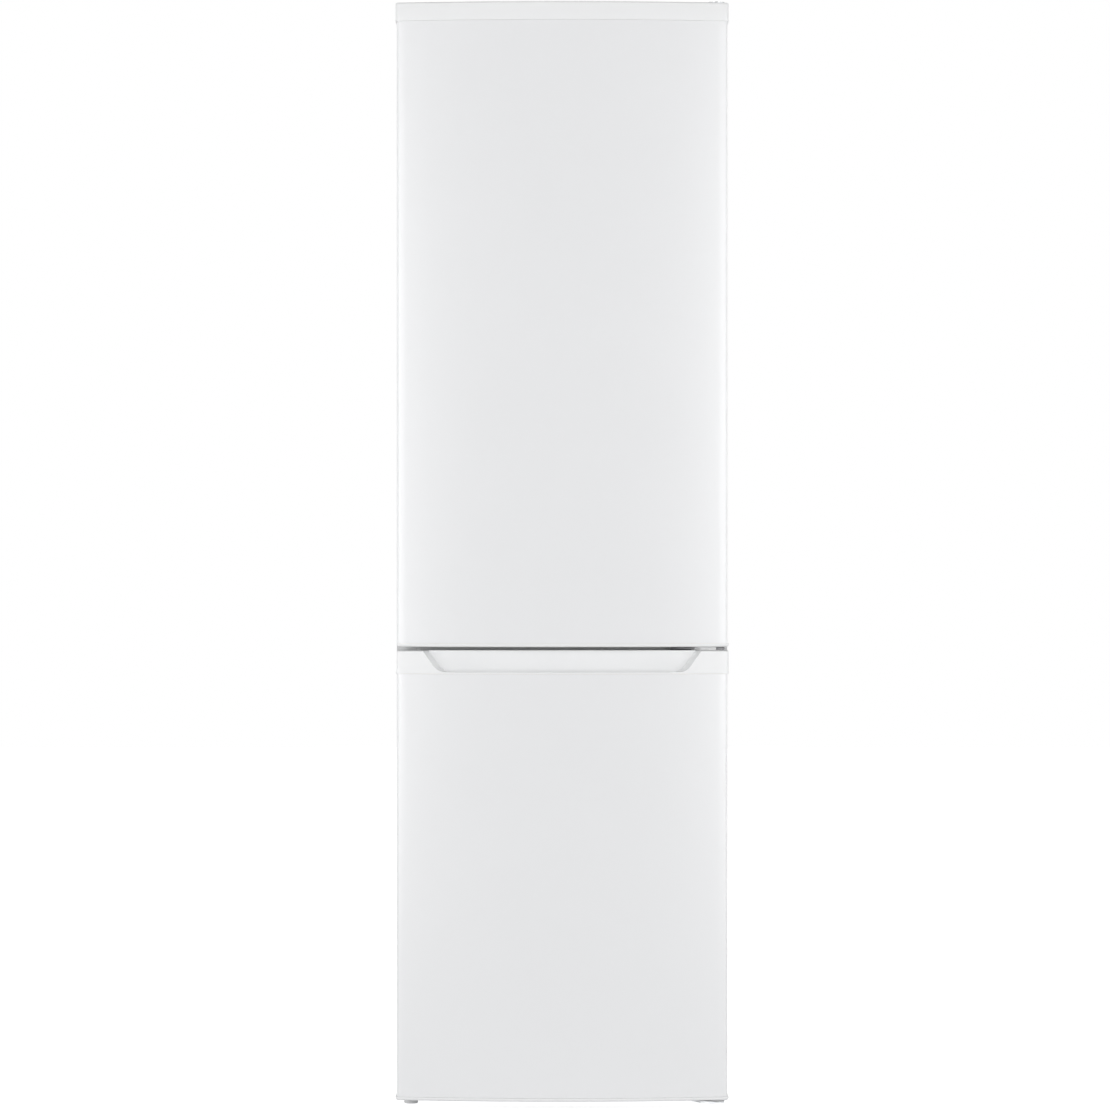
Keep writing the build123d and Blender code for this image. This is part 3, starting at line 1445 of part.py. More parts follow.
def tube(points, bend, radius, sides=6):
    """A tube bent along a route of points, each corner of the route cut off by one short run."""
    points = [Vector(*point) for point in points]
    route = [points[0]]
    for before, corner, after in zip(points, points[1:], points[2:]):
        route.append(corner + (before - corner).normalized() * bend)
        route.append(corner + (after - corner).normalized() * bend)
    route.append(points[-1])
    with BuildPart() as pipe:
        with BuildLine() as spine:
            Polyline(*route)
        with BuildSketch(Plane(origin=route[0], z_dir=spine.line % 0)) as section:
            RegularPolygon(radius, sides, major_radius=False)
        sweep(section.sketch, path=spine.line, transition=Transition.RIGHT)
    return pipe.part


# ---- Condenser ---------------------------------------------------------------------------------------------
coil_half = 218.0
coil_low_rise = 110.0  # roof of the machine compartment to the lowest pass
coil_pitch = 92.0
coil_passes = 11  # an odd number, so that the coil ends on the drier's side
coil_bend = 38.0
coil_radius = 2.5
coil_stand = 15.0  # back sheet to the middle of the coil
riser_gap = 24.0  # end of the passes to the riser beside them
wire_radius = 0.9
wire_pitch = 30.0
wire_end = 16.0  # the wires run this far past the outer passes
clip_width = 26.0
clip_height = 20.0
pipe_join_drop = 30.0  # roof of the machine compartment to the ends of the coil

coil_y = back_y + coil_stand
coil_low_z = niche_top_z + coil_low_rise
coil_high_z = coil_low_z + (coil_passes - 1) * coil_pitch
coil_end_z = niche_top_z - pipe_join_drop
riser_x = coil_half + riser_gap
wire_count = int(2 * (coil_half - coil_bend) / wire_pitch) + 1
wire_length = coil_high_z - coil_low_z + 2 * wire_end

route = [(riser_x, coil_y, coil_end_z), (riser_x, coil_y, coil_high_z)]
for step in range(1, coil_passes):
    turn_x = -coil_half if step % 2 else coil_half
    upper = coil_high_z - (step - 1) * coil_pitch
    route += [(turn_x, coil_y, upper), (turn_x, coil_y, upper - coil_pitch)]
route += [(-drier_x, coil_y, coil_low_z), (-drier_x, coil_y, coil_end_z)]

coil = tube(route, coil_bend, coil_radius)
with BuildPart() as coil_wires:
    with BuildSketch(Plane.XY.offset(coil_low_z - wire_end)):
        with GridLocations(wire_pitch, 1, wire_count, 1):
            for face in (-1, 1):
                with Locations((0, coil_y + face * (coil_radius + wire_radius + seat / 2))):
                    Rectangle(2 * wire_radius, 2 * wire_radius)
    extrude(amount=wire_length)
pieces["condenser"] = Compound([coil.solid(), *coil_wires.solids()])

with BuildPart() as condenser_clips:
    for level in (coil_low_z + coil_pitch / 2, coil_high_z - coil_pitch / 2):
        for side in (-1, 1):
            with BuildSketch(Plane.XY.offset(level - clip_height / 2)) as clip:
                with Locations((side * (coil_half - coil_bend), back_y)):
                    Rectangle(clip_width, depth / 2 - back_y, align=(Align.CENTER, Align.MIN))
                gap_depth = 2 * (coil_radius + 2 * wire_radius + 2 * seat)
                with Locations((side * (coil_half - coil_bend) - side * 5, coil_y)):
                    Rectangle(clip_width, gap_depth, mode=Mode.SUBTRACT)
            extrude(clip.sketch, amount=clip_height)
pieces["condenser_clips"] = condenser_clips.part

# ---- Pipes between the machines ------------------------------------------------------------------------------
stub_end_gap = 10.0 + seat
discharge_x = compressor_x + 52
suction_x = compressor_x - 44
discharge_y = compressor_y + shell_reach(52)
suction_y = compressor_y + shell_reach(44)
pipe_y = back_y - 12.0
suction_roof_x = suction_x - 66.0

with BuildPart() as refrigerant_pipes:
    add(
        tube(
            [
                (discharge_x, discharge_y + stub_end_gap, stub_z),
                (discharge_x, pipe_y, stub_z),
                (riser_x, pipe_y, stub_z),
                (riser_x, coil_y, stub_z + 50),
                (riser_x, coil_y, coil_end_z - seat),
            ],
            9.0,
            coil_radius,
        )
    )
    add(
        tube(
            [
                (-drier_x, coil_y, coil_end_z - seat),
                (-drier_x, coil_y, drier_top_z + 38),
                (-drier_x, drier_y, drier_top_z + 20),
                (-drier_x, drier_y, drier_top_z + seat),
            ],
            9.0,
            coil_radius,
        )
    )
    add(
        tube(
            [
                (suction_x, suction_y + stub_end_gap, stub_z),
                (suction_x, pipe_y, stub_z),
                (suction_roof_x, pipe_y, stub_z),
                (suction_roof_x, pipe_y, niche_top_z - seat),
            ],
            9.0,
            pipe_radius,
        )
    )
    add(
        tube(
            [
                (-drier_x, drier_y, drier_low_z - seat),
                (-drier_x, drier_y, plate_top_z + 16),
                (-drier_x - 34, drier_y, plate_top_z + 16),
                (-drier_x - 34, niche_front_y + seat, plate_top_z + 16),
            ],
            9.0,
            capillary_radius,
        )
    )
pieces["refrigerant_pipes"] = refrigerant_pipes.part

with BuildPart() as cord_gland:
    gland_z = plate_top_z + gland_rise
    gland_y = niche_front_y + seat
    with BuildSketch(Plane.XZ.offset(-gland_y)) as flange:
        with Locations((gland_x, gland_z)):
            bevelled(24, 18, 4)
            RegularPolygon(3.6, 6, major_radius=False, mode=Mode.SUBTRACT)
    extrude(flange.sketch, amount=-3)
    with BuildSketch(Plane.XZ.offset(-gland_y)) as collar:
        with Locations((gland_x, gland_z)):
            RegularPolygon(6.5, 6, major_radius=False)
            RegularPolygon(3.6, 6, major_radius=False, mode=Mode.SUBTRACT)
    extrude(collar.sketch, amount=-17)
pieces["cord_gland"] = cord_gland.part

# ---- Files ---------------------------------------------------------------------------------------------------
for piece_name, piece in pieces.items():
    piece.label = piece_name
    export_step(piece, f"parts/{piece_name}.step")
print(f"{len(pieces)} pieces")
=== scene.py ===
# %% [markdown]
# # A white refrigerator with its freezer below
# This notebook dresses a packed mechanical model of a two-door refrigerator. The packed
# model is the frame: it fixes every size and every hinge. Blender adds the soft edges,
# the thin mouldings, the round tubes and the finishes. Lengths are in metres, X runs to
# the right, the doors face -Y, and Z runs up from the floor.

# %% Load the frame
import json

import bmesh
import bpy
import numpy as np
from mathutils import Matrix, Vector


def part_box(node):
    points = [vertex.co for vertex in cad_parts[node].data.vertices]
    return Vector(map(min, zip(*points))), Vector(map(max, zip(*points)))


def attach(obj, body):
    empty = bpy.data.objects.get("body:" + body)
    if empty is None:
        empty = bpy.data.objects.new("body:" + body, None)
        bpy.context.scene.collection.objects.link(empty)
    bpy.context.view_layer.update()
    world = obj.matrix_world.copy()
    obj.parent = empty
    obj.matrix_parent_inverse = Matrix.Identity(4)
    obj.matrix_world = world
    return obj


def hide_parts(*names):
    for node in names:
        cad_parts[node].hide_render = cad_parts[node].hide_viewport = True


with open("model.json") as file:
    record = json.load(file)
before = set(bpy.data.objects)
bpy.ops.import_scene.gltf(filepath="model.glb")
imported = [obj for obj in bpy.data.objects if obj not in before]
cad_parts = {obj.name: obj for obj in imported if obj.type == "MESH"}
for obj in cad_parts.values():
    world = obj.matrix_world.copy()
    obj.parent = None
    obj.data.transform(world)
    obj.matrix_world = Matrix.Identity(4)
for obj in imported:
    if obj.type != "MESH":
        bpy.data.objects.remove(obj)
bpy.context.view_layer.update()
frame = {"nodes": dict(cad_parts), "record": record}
nodes, record = frame["nodes"], frame["record"]
slot_of = {entry["node"]: entry["material_slot"] for entry in record["subparts"]}
body_of = {node_name: body for body, members in record["behaviour"]["bodies"].items()
           for node_name in members}
MM = 0.001

# %% [markdown]
# ## The camera
# The photograph is a straight front view: both sides of the doors run nearly parallel,
# so the lens is long and stands far off. The floor line tells the camera's height, half
# way up. A long lens on a distant camera gives that view with no shift at all.

# %% Place the camera
LENS, SENSOR, ASIDE, DISTANCE, EYE_LEVEL = 130.6, 36.0, -0.0115, 6.8, 0.9002
camera_data = bpy.data.cameras.new("front_camera")
camera_data.lens = LENS
camera_data.sensor_width = SENSOR
camera = bpy.data.objects.new("front_camera", camera_data)
camera.location = (ASIDE, -DISTANCE, EYE_LEVEL)
camera.rotation_euler = (np.radians(90), 0, 0)
bpy.context.collection.objects.link(camera)
bpy.context.scene.camera = camera
print("camera stands", camera.location[:])

# %% [markdown]
# ## Surfaces from arrays
# A moulded piece is an outline with a profile: the outline is seen from one side, and
# the profile says how far each ring is drawn in and how high it lies. Modelling tools
# could bevel a box, but a ring for every step of the profile keeps the grid even and the
# rounded edges smooth. The next helpers turn such rings into a closed mesh.

# %% From rings to a surface
def mm(*rows):
    """Rows of lengths given in millimetres, as an array in metres."""
    return MM * np.array(rows, float)


def surface(rings, closed_ends=True):
    """Points and faces of rings with equal counts: quads between neighbouring rings, and
    one face over each end."""
    rings = np.array(rings)
    levels, count = rings.shape[:2]
    row = np.arange(count)
    low = row + count * np.arange(levels - 1)[:, None]
    following = np.roll(low, -1, axis=1)
    quads = np.stack([low, following, following + count, low + count], 2)
    faces = quads.reshape(-1, 4).tolist()
    if closed_ends:
        faces += [row[::-1].tolist(), (row + (levels - 1) * count).tolist()]
    return rings, faces


def place(flat, height, axis="z"):
    """Puts a flat outline at a height along an axis: 'z' keeps (x, y), 'y' keeps (x, z)
    and 'x' keeps (y, z)."""
    return np.insert(flat, "xyz".index(axis), height, axis=1)


def unit(arrows):
    """Each arrow divided by its own length."""
    return arrows / np.maximum(np.linalg.norm(arrows, axis=1, keepdims=True), 1e-12)


def outward(outline):
    """Normals of a closed outline: its tangent, the mean of both sides, turned a quarter
    and lengthened at a corner so that both sides move by the same amount."""
    ahead = unit(np.roll(outline, -1, 0) - outline)
    behind = unit(outline - np.roll(outline, 1, 0))
    tangent = unit(ahead + behind)
    lengthen = 1 / np.maximum(np.sum(tangent * ahead, axis=1, keepdims=True), 0.4)
    return np.stack([tangent[:, 1], -tangent[:, 0]], 1) * lengthen


def profiled(outline, profile, axis="z"):
    """Rings of a piece: point(u, v) = outline(u) - normal(u) * inset(v), at height(v)."""
    normals = outward(outline)
    return surface([place(outline - normals * inset, level, axis)
                    for inset, level in profile])


# %% Outlines and round edges
def rounded_box(width, length, radius, steps=6):
    """Outline of a rectangle whose corners are quarter circles, counter-clockwise."""
    turn = np.linspace(0, np.pi / 2, steps + 1)
    parts = []
    for index, (side_x, side_y) in enumerate(((1, 1), (-1, 1), (-1, -1), (1, -1))):
        a = turn + index * np.pi / 2
        centre = side_x * (width / 2 - radius), side_y * (length / 2 - radius)
        parts.append(np.stack([np.cos(a), np.sin(a)], 1) * radius + centre)
    return np.concatenate(parts)


def circle(radius, count, x=0.0, y=0.0):
    """A circle in the plane, counter-clockwise, round a centre."""
    turn = np.arange(count) * 2 * np.pi / count
    return np.stack([x + radius * np.cos(turn), y + radius * np.sin(turn)], 1)


def turned(profile, a, b, axis="z", count=32, closed_ends=True):
    """A profile of (radius, place on the axis) carried round the axis through (a, b)."""
    return surface([place(circle(max(radius, 1e-7), count, a, b), level, axis)
                    for radius, level in profile], closed_ends)


def quarter(radius, steps=5):
    """A quarter circle as pairs (inset, drop): radius times 1 - cos a and 1 - sin a."""
    a = np.linspace(0, np.pi / 2, steps + 1)
    return list(zip(radius * (1 - np.cos(a)), radius * (1 - np.sin(a))))


def round_over(radius, low, high, steps=4):
    """Profile of a slab between two heights, with a quarter round on both edges."""
    top = [(inset, high - drop) for inset, drop in quarter(radius, steps)]
    return [(inset, low + high - level) for inset, level in top[::-1]] + top


print("rounded outline of", len(rounded_box(0.2, 0.1, 0.01)), "points")

# %% [markdown]
# ## The finishes
# A refrigerator is mostly white, so its finishes differ in gloss and in fine relief:
# stove paint shows a faint orange peel, moulded plastic a very fine grain, the inner
# liner is glossier, rubber is dull. Image textures could hold that relief, but noise on
# Object coordinates has no seams and keeps its true scale on every piece.

# %% Material helpers
def set_inputs(tree, node, inputs):
    """Sets each input of a node to a value, or links it to another node's output."""
    for socket, value in inputs.items():
        if isinstance(value, bpy.types.NodeSocket):
            tree.links.new(value, node.inputs[socket])
        else:
            node.inputs[socket].default_value = value


def add_node(tree, kind, inputs, **settings):
    """Adds a shader node with its settings and inputs, and returns its outputs."""
    node = tree.nodes.new("ShaderNode" + kind)
    for setting, value in settings.items():
        setattr(node, setting, value)
    set_inputs(tree, node, inputs)
    return node.outputs


def finish(name, colour, roughness, grain, grain_size, vary, sockets):
    """A principled finish. Noise makes a relief of some height and size in millimetres; a
    slower noise varies the colour by a share, and with it the roughness."""
    material = bpy.data.materials.new(name)
    material.use_nodes = True
    tree = material.node_tree
    shader = tree.nodes["Principled BSDF"]
    plain = {"Base Color": (*colour, 1), "Roughness": roughness}
    set_inputs(tree, shader, plain | sockets)
    spot = add_node(tree, "TexCoord", {})["Object"]
    fine = {"Vector": spot, "Scale": 1 / (grain_size * MM), "Detail": 3}
    relief = {"Height": add_node(tree, "TexNoise", fine)["Fac"], "Distance": grain * MM,
              "Strength": 0.6}
    set_inputs(tree, shader, {"Normal": add_node(tree, "Bump", relief)["Normal"]})
    if vary:
        coarse = {"Vector": spot, "Scale": 9, "Detail": 4}
        slow = add_node(tree, "TexNoise", coarse)["Fac"]
        shades = {"Factor": slow, "A": (*[c * (1 - vary) for c in colour], 1),
                  "B": (*[min(c * (1 + vary), 1) for c in colour], 1)}
        gloss = {"Value": slow, "To Min": roughness * 0.85,
                 "To Max": min(roughness * 1.15, 1)}
        set_inputs(tree, shader, {
            "Base Color": add_node(tree, "Mix", shades, data_type="RGBA")["Result"],
            "Roughness": add_node(tree, "MapRange", gloss)["Result"]})
    return material


# %% Opaque finishes
METAL, COAT = {"Metallic": 1.0}, {"Coat Weight": 0.6, "Coat Roughness": 0.22}
finishes = {row[0]: finish(*row) for row in (
    # name, colour, roughness, height and size of the relief, variation, other sockets
    ("door_paint", (0.80, 0.805, 0.815), 0.30, 0.004, 1.6, 0.004, COAT),
    ("cabinet_paint", (0.80, 0.805, 0.81), 0.38, 0.006, 1.6, 0.006, {}),
    ("cap_plastic", (0.85, 0.855, 0.86), 0.32, 0.002, 0.5, 0.004, {}),
    ("cover_plastic", (0.78, 0.78, 0.78), 0.35, 0.002, 0.5, 0.006, {}),
    ("liner_plastic", (0.84, 0.85, 0.85), 0.22, 0.003, 2.5, 0.004, {}),
    ("foam_cream", (0.72, 0.62, 0.40), 0.85, 0.25, 2.0, 0.06, {}),
    ("seal_rubber", (0.62, 0.62, 0.62), 0.6, 0.01, 0.8, 0.02, {}),
    ("zinc_plate", (0.52, 0.53, 0.54), 0.36, 0.01, 0.9, 0.10, METAL),
    # dark metal for the middle hinge plate, partly painted shade of the gap between the
    # doors; on the hinge bolts its darkness is painted shade only
    ("dark_plate_and_painted_shade", (0.16, 0.16, 0.165), 0.42, 0.008, 0.8, 0.10, METAL),
    ("copper", (0.80, 0.42, 0.26), 0.33, 0.01, 1.5, 0.12, METAL),
    ("black_enamel", (0.018, 0.018, 0.019), 0.38, 0.02, 1.2, 0.15, {}),
    ("black_plastic", (0.03, 0.03, 0.032), 0.5, 0.01, 0.6, 0.10, {}),
    ("black_rubber", (0.022, 0.022, 0.022), 0.75, 0.02, 1.0, 0.12, {}),
    ("tray_plastic", (0.05, 0.05, 0.055), 0.45, 0.01, 0.7, 0.08, {}),
    ("foot_plastic", (0.62, 0.62, 0.625), 0.5, 0.01, 0.7, 0.05, {}),
    ("bush_plastic", (0.66, 0.66, 0.66), 0.45, 0.004, 0.6, 0.02, {}))}
print("finishes", len(finishes))

# %% [markdown]
# ## Clear mouldings and glass
# The bins and the crisper are clear plastic, the freezer drawers are milky, and the
# shelves are glass with a green edge. Mixing a glass shader by hand would work, but the
# principled shader's transmission keeps colour, gloss and refraction together.

# %% Clear finishes
PLASTIC_INDEX, GLASS_INDEX = 1.49, 1.52
for name, colour, roughness, transmission, index in (
        ("bin_plastic", (0.93, 0.965, 0.975), 0.06, 0.85, PLASTIC_INDEX),
        ("drawer_plastic", (0.90, 0.94, 0.955), 0.22, 0.6, PLASTIC_INDEX),
        ("shelf_glass", (0.90, 0.97, 0.94), 0.02, 0.95, GLASS_INDEX),
        ("lens_plastic", (0.93, 0.93, 0.90), 0.35, 0.25, PLASTIC_INDEX)):
    finishes[name] = finish(name, colour, roughness, 0.0015, 4.0, 0,
                            {"Transmission Weight": transmission, "IOR": index})
print("finishes", len(finishes))

# %% [markdown]
# ## Every node gets a finish
# A node whose shape is already right only needs its finish. The record lists which
# material slot each node has, so one table from slot to finish covers them all.

# %% Finish the nodes
finish_name = {"hinge_cover_plastic": "cover_plastic", "foam": "foam_cream",
               "gasket_rubber": "seal_rubber", "freezer_shelf_plastic": "liner_plastic",
               "trim_plastic": "cap_plastic", "plated_steel": "zinc_plate"}
finish_of = {slot: finishes[finish_name.get(slot, slot)] for slot in slot_of.values()}
for node_name, node in nodes.items():
    node.data.materials.clear()
    node.data.materials.append(finish_of[slot_of[node_name]])
print("nodes finished", len(slot_of))

# %% [markdown]
# ## From a surface to a piece
# A piece is one or more closed surfaces with a finish. It rides on the body that carries
# it and names the node of the frame that it stands for, which is then hidden. Points
# that meet are merged first, so that no seam or pole stays open.

# %% Pieces
SHARP = np.radians(32)


def show(name, mesh, node_name, slot=None, look=None):
    """Finishes a mesh, rides it on its node's body and hides the node it stands for."""
    slot = slot or slot_of[node_name]
    mesh.shade_smooth()
    mesh.set_sharp_from_angle(angle=SHARP)
    mesh.materials.clear()
    mesh.materials.append(look or finish_of[slot])
    piece = bpy.data.objects.new(name, mesh)
    bpy.context.collection.objects.link(piece)
    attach(piece, body_of.get(node_name, "cabinet"))
    if node_name:
        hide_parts(node_name)
    print(f"{name}: {len(mesh.polygons)} faces")
    return piece


def new_piece(name, shapes, node_name=None, slot=None):
    """One piece from several surfaces of (points, faces), their faces renumbered."""
    points, faces, count = [], [], 0
    for rings, quads in shapes:
        rings = rings.reshape(-1, 3)
        points += rings.tolist()
        faces += [[index + count for index in face] for face in quads]
        count += len(rings)
    mesh = bpy.data.meshes.new(name)
    mesh.from_pydata(points, [], faces)
    mesh.validate()
    cleaned = bmesh.new()
    cleaned.from_mesh(mesh)
    bmesh.ops.remove_doubles(cleaned, verts=cleaned.verts, dist=2e-6)
    bmesh.ops.dissolve_degenerate(cleaned, edges=cleaned.edges, dist=1e-6)
    bmesh.ops.recalc_face_normals(cleaned, faces=cleaned.faces)
    cleaned.to_mesh(mesh)
    cleaned.free()
    return show(name, mesh, node_name, slot)


def ease(piece, width, segments=2, angle=30):
    """Rounds every edge sharper than an angle by a width in millimetres, as a moulding or
    a press leaves it."""
    bevel = piece.modifiers.new("eased", "BEVEL")
    bevel.width = width * MM
    bevel.segments = segments
    bevel.limit_method = "ANGLE"
    bevel.angle_limit = np.radians(angle)
    bevel.harden_normals = True


# %% [markdown]
# ## The painted door sheets
# Each door is one steel sheet with a shallow bow across its width. It is folded round
# both sides and a little way on to the back. An arc could be extruded and thickened, but
# with a plan that walks out along the outer face and home along the inner one, the sheet
# has its true thickness and closed edges at once.

# %% Plan of a door
HALF, CROWN, BOW, BACK = 0.270, -0.300, 0.022, -0.2312
BOW_RADIUS = (HALF**2 + BOW**2) / (2 * BOW)
SHEET, CORNER_RADIUS, LIP = 0.0008, 0.006, 0.254


def bow_at(x, inset=0.0):
    """Depth of the bowed front at x: a circle whose crown lies on the middle line."""
    radius = BOW_RADIUS - inset
    return CROWN + inset + radius - np.sqrt(radius**2 - np.square(x))


def door_front(side_inset=0.0, front_inset=0.0, corner=CORNER_RADIUS):
    """Plan of a door from left to right: side, corner arc, bow, corner arc and side."""
    side = HALF - side_inset
    radius = BOW_RADIUS - front_inset
    hub_y = CROWN + BOW_RADIUS
    arc_x = side - corner
    arc_y = hub_y - np.sqrt((radius - corner) ** 2 - arc_x**2)
    meet = arc_x * radius / (radius - corner)
    turn = np.linspace(0, np.arctan2(hub_y - arc_y, arc_x), 7)
    arc = np.stack([arc_x + corner * np.cos(turn), arc_y - corner * np.sin(turn)], 1)
    bow_x = np.linspace(-meet, meet, 49)[1:-1]
    bow = np.stack([bow_x, bow_at(bow_x, front_inset)], 1)
    right = np.concatenate([arc[::-1], [[side, BACK]]])
    return np.concatenate([right[::-1] * (-1, 1), bow, right])


def level_range(node_name):
    """Lowest and highest level of a node of the frame."""
    low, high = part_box(node_name)
    return low[2], high[2]


def door_sheet(body):
    """The folded sheet: outer path and inner path joined at the lips, carried upwards."""
    outer = door_front(0.0020, 0.0006)
    inner = door_front(0.0020 + SHEET, 0.0006 + SHEET, CORNER_RADIUS - SHEET)
    inner[[0, -1], 1] = BACK - SHEET
    plan = np.concatenate([[[-LIP, BACK]], outer, [[LIP, BACK], [LIP, BACK - SHEET]],
                           inner[::-1], [[-LIP, BACK - SHEET]]])
    levels = np.linspace(*level_range(f"{body}_panel"), 13)
    new_piece(f"{body}_sheet", [surface([place(plan, level) for level in levels])],
              f"{body}_panel")


door_sheet("fridge_door")
door_sheet("freezer_door")

# %% [markdown]
# ## The end caps of the doors
# A moulded cap closes each end of a door. It stands a little proud of the sheet, and its
# rim is rounded, which is the thin shaded line along the top of the photograph. A lathe
# can't turn this plan, so the profile of the wall runs round the plan instead: up the
# inside, over the open edge, up the outside and over the rounded rim.

# %% Caps
HINGE_X, HINGE_Y = 0.251, -0.252
BOSS_RADIUS, BOSS_BORE, CAP_WALL = 0.0095, 0.0071, 0.0025


def sleeve(x, y, low, high, outer, bore, edge=0.0003, count=40):
    """A round tube with broken edges: the section of its wall, turned round an axis."""
    section = [(bore, low + edge), (bore + edge, low), (outer - edge, low),
               (outer, low + edge), (outer, high - edge), (outer - edge, high),
               (bore + edge, high), (bore, high - edge), (bore, low + edge)]
    return turned(section, x, y, count=count, closed_ends=False)


def end_cap(low, high, rim, closed_top, step):
    """Plan of the door with the profile of the wall, and the boss for the hinge pin."""
    plan = door_front()
    plan[:, 0] = np.maximum(plan[:, 0], -HALF + step)
    mouth, crest, sign = (low, high, 1) if closed_top else (high, low, -1)
    profile = [(CAP_WALL, crest - sign * CAP_WALL), (CAP_WALL, mouth), (0, mouth)]
    profile += [(inset, crest - sign * drop) for inset, drop in quarter(rim)]
    boss_low = high - 0.016 if closed_top else low
    boss = sleeve(HINGE_X, HINGE_Y, boss_low, boss_low + 0.0158, BOSS_RADIUS, BOSS_BORE)
    return [profiled(plan, profile), boss]


new_piece("fridge_top_end", end_cap(1.765, 1.795, 0.003, True, 0), "fridge_door_top_cap")
new_piece("fridge_low_end", end_cap(0.7515, 0.757, 0.0035, False, 0.003),
          "fridge_door_bottom_cap")
new_piece("freezer_low_end", end_cap(0.017, 0.0225, 0.0035, False, 0),
          "freezer_door_bottom_cap")

# %% [markdown]
# ## The handle cap with its grip
# This is the piece that opens the refrigerator: a recess with slanting sides is sunk into
# the top of the freezer door, and a trough behind its lip takes the finger tips. A
# boolean cut would do it, but leaves thin triangles along the bowed front. Here the whole
# cap is one grid: the columns run across the door and lean with the recess's sides, and
# each column walks once round the section, up the front, down into the trough, up the
# floor of the recess and home along the back.

# %% Levels of the handle cap
LOW, GRIP, TOP, RIM = 0.708, 0.7105, 0.7455, 0.003
LOW_HALF, TOP_HALF, SIDE_RUN, BEND = 0.201, 0.226, 0.009, 0.024
FLOOR_Y, LIP_BACK, TROUGH, SIDE_MEET = -0.266, -0.286, 0.014, 0.264
slant = np.arctan2(TOP - GRIP, TOP_HALF - LOW_HALF)
swing = np.linspace(0, slant, 7)
bend_levels = GRIP + BEND * (1 - np.cos(swing))
straight = np.linspace(bend_levels[-1], TOP - RIM, 5)[1:]
turn = np.radians([20, 40, 60, 78, 90])
levels = np.concatenate([bend_levels, straight, TOP - RIM * (1 - np.sin(turn))])
edges = LOW_HALF + (TOP_HALF - LOW_HALF) * (levels - GRIP) / (TOP - GRIP)
edges[:len(swing)] = LOW_HALF - BEND * np.tan(slant / 2) + BEND * np.sin(swing)
insets = np.zeros(len(levels))
insets[-len(turn):] = RIM * (1 - np.cos(turn))
print("recess", edges[0] * 2, "to", edges[-1] * 2, "m wide")


# %% Handle cap
def outer_column(x, y, normal):
    """Front point at every level, drawn in along its normal at the rounded rim."""
    front = np.stack([x + normal[0] * insets, y + normal[1] * insets, levels], 1)
    foot = [[x[0], y[0], GRIP]] * 4
    return np.concatenate([
        [[x[0], BACK, LOW], [x[0], y[0], LOW]], foot, front, [[x[-1], BACK, TOP]]])


def handle_cap():
    """Column(s) is a closed walk over the levels; x leans between the recess's edge and
    the corner, depth is the bow outside the recess and its flat floor inside."""
    side = door_front()
    side = side[side[:, 0] < -SIDE_MEET + 0.0001]
    everywhere = np.ones(len(levels))
    columns = []
    for (x, y), share in zip(side, np.linspace(0, 1.2, len(side))):
        lean = min(share, 1)
        columns.append(outer_column(x * everywhere, y * everywhere, (1 - lean, lean)))
    for share in np.linspace(0, 1, 7)[1:]:
        x = -(SIDE_MEET + (edges - SIDE_MEET) * share)
        columns.append(outer_column(x, bow_at(x), (0, 1)))
    outside = columns[:]
    flank = np.linspace(0.951, 1, 3)
    for share in (*-flank[::-1], *np.linspace(-0.95, 0.95, 39), *flank):
        lip_x, back_x = edges[0] * share, (edges[0] - SIDE_RUN / 2) * share
        lip_y = bow_at(lip_x)
        depth = GRIP - TROUGH if abs(share) <= 0.95 else GRIP
        floor_x = (edges - SIDE_RUN) * share
        columns.append(np.concatenate([
            [[lip_x, BACK, LOW], [lip_x, lip_y, LOW], [lip_x, lip_y, GRIP],
             [back_x, LIP_BACK, GRIP], [back_x, LIP_BACK, depth],
             [back_x, FLOOR_Y, depth]],
            np.stack([floor_x, FLOOR_Y * everywhere, levels], 1),
            [[floor_x[-1], BACK, TOP]]]))
    grid = np.array(columns + [column * (-1, 1, 1) for column in outside[::-1]])
    step = RIM * np.clip((grid[..., 2] - LOW) / 0.010, 0, 1)
    grid[..., 0] = np.maximum(grid[..., 0], -HALF + step)
    return surface(grid)


cap_boss = sleeve(HINGE_X, HINGE_Y, 0.7295, 0.7452, BOSS_RADIUS, BOSS_BORE)
ease(new_piece("handle_cap", [handle_cap(), cap_boss], "freezer_handle_cap"), 0.7, 3, 28)

# %% [markdown]
# ## Feet and wheels
# Feet, rollers, rubber mounts and the filter drier are turned, so each is a profile
# carried round an axis. A levelling foot is a pad, a hexagon for the spanner and a
# threaded stud. A helix would give the thread too, but plain ridges look the same here
# and need a fraction of the faces.

# %% Feet and wheels
FOOT_X, FOOT_Y = 0.248, -0.182
WHEEL_X, WHEEL_Y, WHEEL_Z, WHEEL_WIDTH = 0.230, 0.242, 0.012, 0.016
pad = mm((0, 0), (10.6, 0), (11.5, 0.9), (11.5, 4.8), (10.6, 5.8), (7, 6), (0, 6))
nut = mm((0.8, 6), (0, 6.6), (0, 8.9), (0.8, 9.5))
thread = [(4 - 0.35 * (step % 2), 10.2 + 0.625 * step) for step in range(48)]
tyre = np.array([(2.55, -0.5), (4.5, -0.5), (5, -0.42), (8.8, -0.42), (9.8, -0.5),
                 (11.2, -0.5), (12, -0.43), (12, 0.43), (11.2, 0.5), (9.8, 0.5),
                 (8.8, 0.42), (5, 0.42), (4.5, 0.5), (2.55, 0.5), (2.55, -0.5)])
for side, hand in ((-1, "left"), (1, "right")):
    new_piece(f"{hand}_levelling_foot", [
        turned(pad, side * FOOT_X, FOOT_Y, count=48),
        profiled(circle(0.009 / np.cos(np.pi / 6), 6, side * FOOT_X, FOOT_Y), nut),
        turned(mm((0, 9.5), *thread, (3, 40), (0, 40)), side * FOOT_X, FOOT_Y, count=20)],
        f"{hand}_foot")
    wheel = tyre * (MM, WHEEL_WIDTH) + (0, side * WHEEL_X)
    new_piece(f"{hand}_rear_wheel", [turned(wheel, WHEEL_Y, WHEEL_Z, "x", 36, False)],
              f"{hand}_roller")

